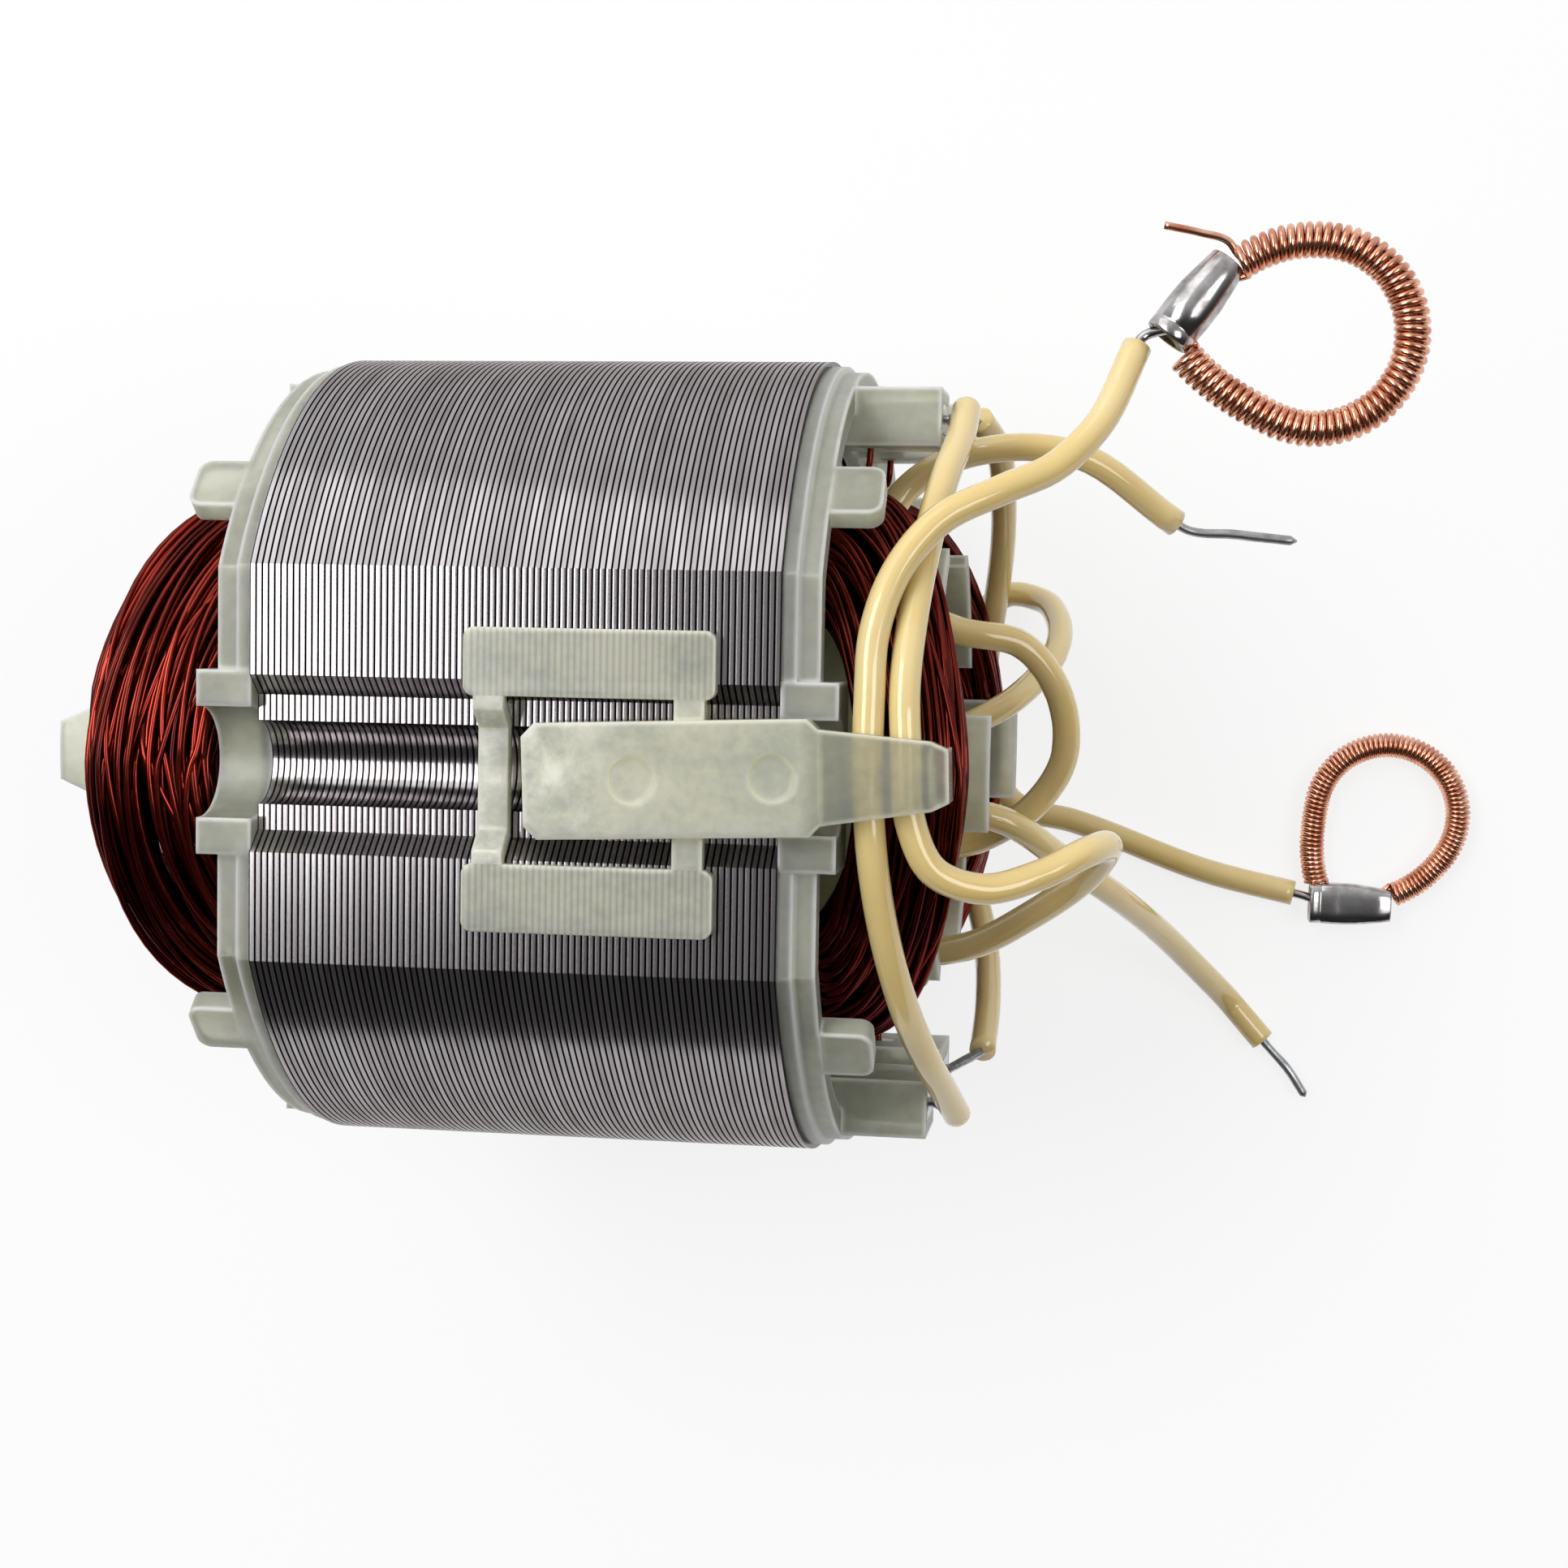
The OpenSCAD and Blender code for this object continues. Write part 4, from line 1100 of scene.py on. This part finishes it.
    def ring(self, form: RingForm, material: Material) -> Piece:
        """Adds a ring of coiled wire.

        The wire is a helix about the coil's middle line, even along its length, and its ends run
        on into the ferrule. The line's radius grows with the square of its way into a flare.

        Args:
            form: Its place and sizes.
            material: Its material.

        Returns:
            The object.
        """
        degrees = np.linspace(*form.angles, form.turns * self.turn_steps)
        first = np.clip(1 - (form.angles[0] - degrees) / self.flare_arc, 0, None)
        last = np.clip(1 - (degrees - form.angles[1]) / self.flare_arc, 0, None)
        radius = form.line_r + form.flares[0] * first**2 + form.flares[1] * last**2
        a = np.radians(degrees)
        spoke = np.stack([np.cos(a), np.sin(a), 0 * a], axis=1)
        line = np.array(form.centre) + radius[:, None] * spoke
        way = unit(np.gradient(line, axis=0))
        up = np.array(Axis.UP.value)
        side = np.cross(way, up)
        run = np.append(0, np.cumsum(np.linalg.norm(np.diff(line, axis=0), axis=1)))
        phase = 2 * np.pi * form.turns * (run / run[-1])[:, None]
        arm = np.cos(phase) * side + np.sin(phase) * up
        helix = line + (form.coil_d - form.wire_d) / 2 * arm
        inner, outer = np.array(form.hooks)
        entry = self.hook(inner, helix[0], arm[0])[:-1]
        leave = self.hook(helix[-1], outer, arm[-1])[1:]
        path = np.vstack([entry, helix, leave])
        guide = np.vstack([np.repeat(arm[:1], len(entry), axis=0), arm,
                           np.repeat(arm[-1:], len(leave), axis=0)])
        shape = sweep(path[None], form.wire_d / 2, self.ring_sides, guide[None])
        if form.loose_end:
            loose = spline(np.array(form.loose_end), self.loose_steps)
            shape = join(shape, sweep(loose[None], form.wire_d / 2, self.loose_sides, up))
        return add_piece(f"{form.node}_coil", shape, material, (form.node,))

    def build(self) -> None:
        """Builds the pieces on the leads, then the leads."""
        pvc, tin, crimp, copper = (finish.material() for finish
                                   in (self.pvc, self.tin, self.crimp, self.copper))
        upper = [self.ferrule(self.upper_ferrule, self.front_brush, crimp),
                 self.ring(self.upper_ring, copper)]
        lower = [self.ferrule(self.lower_ferrule, self.rear_brush, crimp),
                 self.ring(self.lower_ring, copper)]
        rear = [self.stripped_end("rear_stripped_end", self.rear_supply, self.rear_bends, tin)]
        front = [self.stripped_end("front_stripped_end", self.front_supply, self.front_bends, tin)]
        self.lead("front_brush_lead", self.front_brush, pvc)
        self.lead("rear_brush_lead", self.rear_brush, pvc)
        self.lead("rear_supply_lead", self.rear_supply, pvc)
        self.lead("front_supply_lead", self.front_supply, pvc)


@dataclass(frozen=True)
class Lamp:
    """A rectangular lamp: its place, its sides, the second one towards the rear, and its watts."""

    name: str
    place: Point
    size: Span
    power: float


@dataclass
class Studio:
    """Camera, floor and lights."""

    yaw: float = 8.3107
    pitch: float = 3.816
    roll: float = -1.0345
    aim: Span = (-16.385, 3.018)
    distance: float = 220.381
    focal_px: float = 3060.65
    frame_px: float = 1932.0
    sensor: float = 36.0
    clip: Span = (10.0, 20000.0)
    floor_z: float = -31.25
    floor_half: float = 3000.0
    floor_paint: Colour = (0.88, 0.88, 0.88, 1.0)
    # Share of the floor's own white near the stator and far off, and the distances of both.
    floor_white: Span = (0.8, 1.0)
    floor_away: Span = (80.0, 600.0)
    sky_rear: Span = (-0.45, 0.85)
    sky_level: Span = (0.04, 0.9)
    lamps: tuple[Lamp, ...] = (Lamp("key", (-230.0, 140.0, 440.0), (240.0, 400.0), 1.7),
                               Lamp("rear", (-180.0, 440.0, 240.0), (380.0, 380.0), 0.45),
                               Lamp("right", (330.0, 10.0, 420.0), (240.0, 240.0), 0.75))

    def camera(self) -> None:
        """Sets the camera at the photograph's viewing angle."""
        a, b, c = np.radians((self.yaw, self.pitch, self.roll))
        turn = np.array([[np.cos(a), 0, -np.sin(a)], [0, 1, 0], [np.sin(a), 0, np.cos(a)]])
        tilt = np.array([[1, 0, 0], [0, np.cos(b), -np.sin(b)], [0, np.sin(b), np.cos(b)]])
        lean = np.array([[np.cos(c), -np.sin(c), 0], [np.sin(c), np.cos(c), 0], [0, 0, 1]])
        axes = lean @ tilt @ turn
        place = axes.T @ np.array([-self.aim[0], -self.aim[1], self.distance]) * MM
        lens = bpy.data.cameras.new("camera")
        lens.sensor_width = self.sensor
        lens.lens = lens.sensor_width * self.focal_px / self.frame_px
        lens.clip_start, lens.clip_end = (limit * MM for limit in self.clip)
        camera = bpy.data.objects.new("camera", lens)
        camera.matrix_world = Matrix.LocRotScale(
            Vector(place), Matrix(axes.T.tolist()).to_quaternion(), None)
        bpy.context.scene.collection.objects.link(camera)
        bpy.context.scene.camera = camera

    def floor(self) -> None:
        """Lays a white floor that keeps the object's shadow."""
        h, z = self.floor_half, self.floor_z
        corners = np.array([[-h, -h, z], [h, -h, z], [h, h, z], [-h, h, z]])
        mesh = bpy.data.meshes.new("floor")
        mesh.from_pydata((corners * MM).tolist(), [], [[0, 1, 2, 3]])
        made = bpy.data.materials.new("white_floor")
        made.use_nodes = True
        tree = made.node_tree
        ray = add_node(tree, "LightPath").outputs
        seen = add_node(tree, "Math", {0: ray["Is Camera Ray"], 1: ray["Is Glossy Ray"]},
                        operation="MAXIMUM")
        through = add_node(tree, "Math", {0: seen, 1: ray["Is Transmission Ray"]},
                           operation="MAXIMUM")
        place = add_node(tree, "TexCoord").outputs["Object"]
        away = add_node(tree, "VectorMath", {0: place}, operation="LENGTH").outputs["Value"]
        white = add_node(tree, "MapRange", {
            "Value": away, RANGE_IN: [far * MM for far in self.floor_away],
            RANGE_OUT: self.floor_white})
        share = add_node(tree, "Math", {0: through, 1: white}, operation="MULTIPLY")
        paint = add_node(tree, "BsdfDiffuse", {"Color": self.floor_paint})
        glow = add_node(tree, "Emission", {"Color": WHITE, "Strength": 1.0})
        both = add_node(tree, "MixShader", {0: share, 1: paint, 2: glow})
        plug(tree, tree.nodes["Material Output"], {"Surface": both})
        mesh.materials.append(made)
        floor = bpy.data.objects.new("floor", mesh)
        bpy.context.scene.collection.objects.link(floor)

    def hang(self, lamp: Lamp) -> None:
        """Hangs a lamp so that it faces the stator.

        Args:
            lamp: The lamp.
        """
        light = bpy.data.lights.new(lamp.name, "AREA")
        light.shape = "RECTANGLE"
        light.size, light.size_y = (side * MM for side in lamp.size)
        light.energy = lamp.power
        out = unit(np.array(lamp.place))
        rear = np.array(Axis.REAR.value)
        rear = unit(rear - (rear @ out) * out)
        axes = np.stack([np.cross(rear, out), rear, out], axis=1)
        hung = bpy.data.objects.new(lamp.name, light)
        hung.matrix_world = Matrix.LocRotScale(
            Vector(lamp.place) * MM, Matrix(axes.tolist()).to_quaternion(), None)
        bpy.context.scene.collection.objects.link(hung)

    def sky(self) -> None:
        """Surrounds the stator with grey, lighter to the rear and white to the camera."""
        world = bpy.data.worlds.new("studio")
        world.use_nodes = True
        tree = world.node_tree
        way = add_node(tree, "TexCoord").outputs["Generated"]
        rear = add_node(tree, "SeparateXYZ", {0: way}).outputs["Y"]
        level = add_node(tree, "MapRange", {"Value": rear, RANGE_IN: self.sky_rear,
                                            RANGE_OUT: self.sky_level},
                         interpolation_type="SMOOTHSTEP")
        seen = add_node(tree, "LightPath").outputs["Is Camera Ray"]
        strength = add_node(tree, "Mix", {SHARE: seen, LOW: level, HIGH: 1.0})
        plug(tree, tree.nodes["Background"], {"Color": WHITE, "Strength": strength})
        bpy.context.scene.world = world

    def build(self) -> None:
        """Sets the camera, the floor, the lamps and the sky."""
        self.camera()
        self.floor()
        for lamp in self.lamps:
            self.hang(lamp)
        self.sky()
        bpy.context.scene.view_settings.view_transform = "Standard"


def main() -> None:
    logging.basicConfig(level=logging.INFO, format="%(name)s: %(message)s")
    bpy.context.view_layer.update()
    for part in (Studio(), Leads(), Core(), Winding(), Terminals()):
        part.build()


if __name__ == "__main__":
    main()
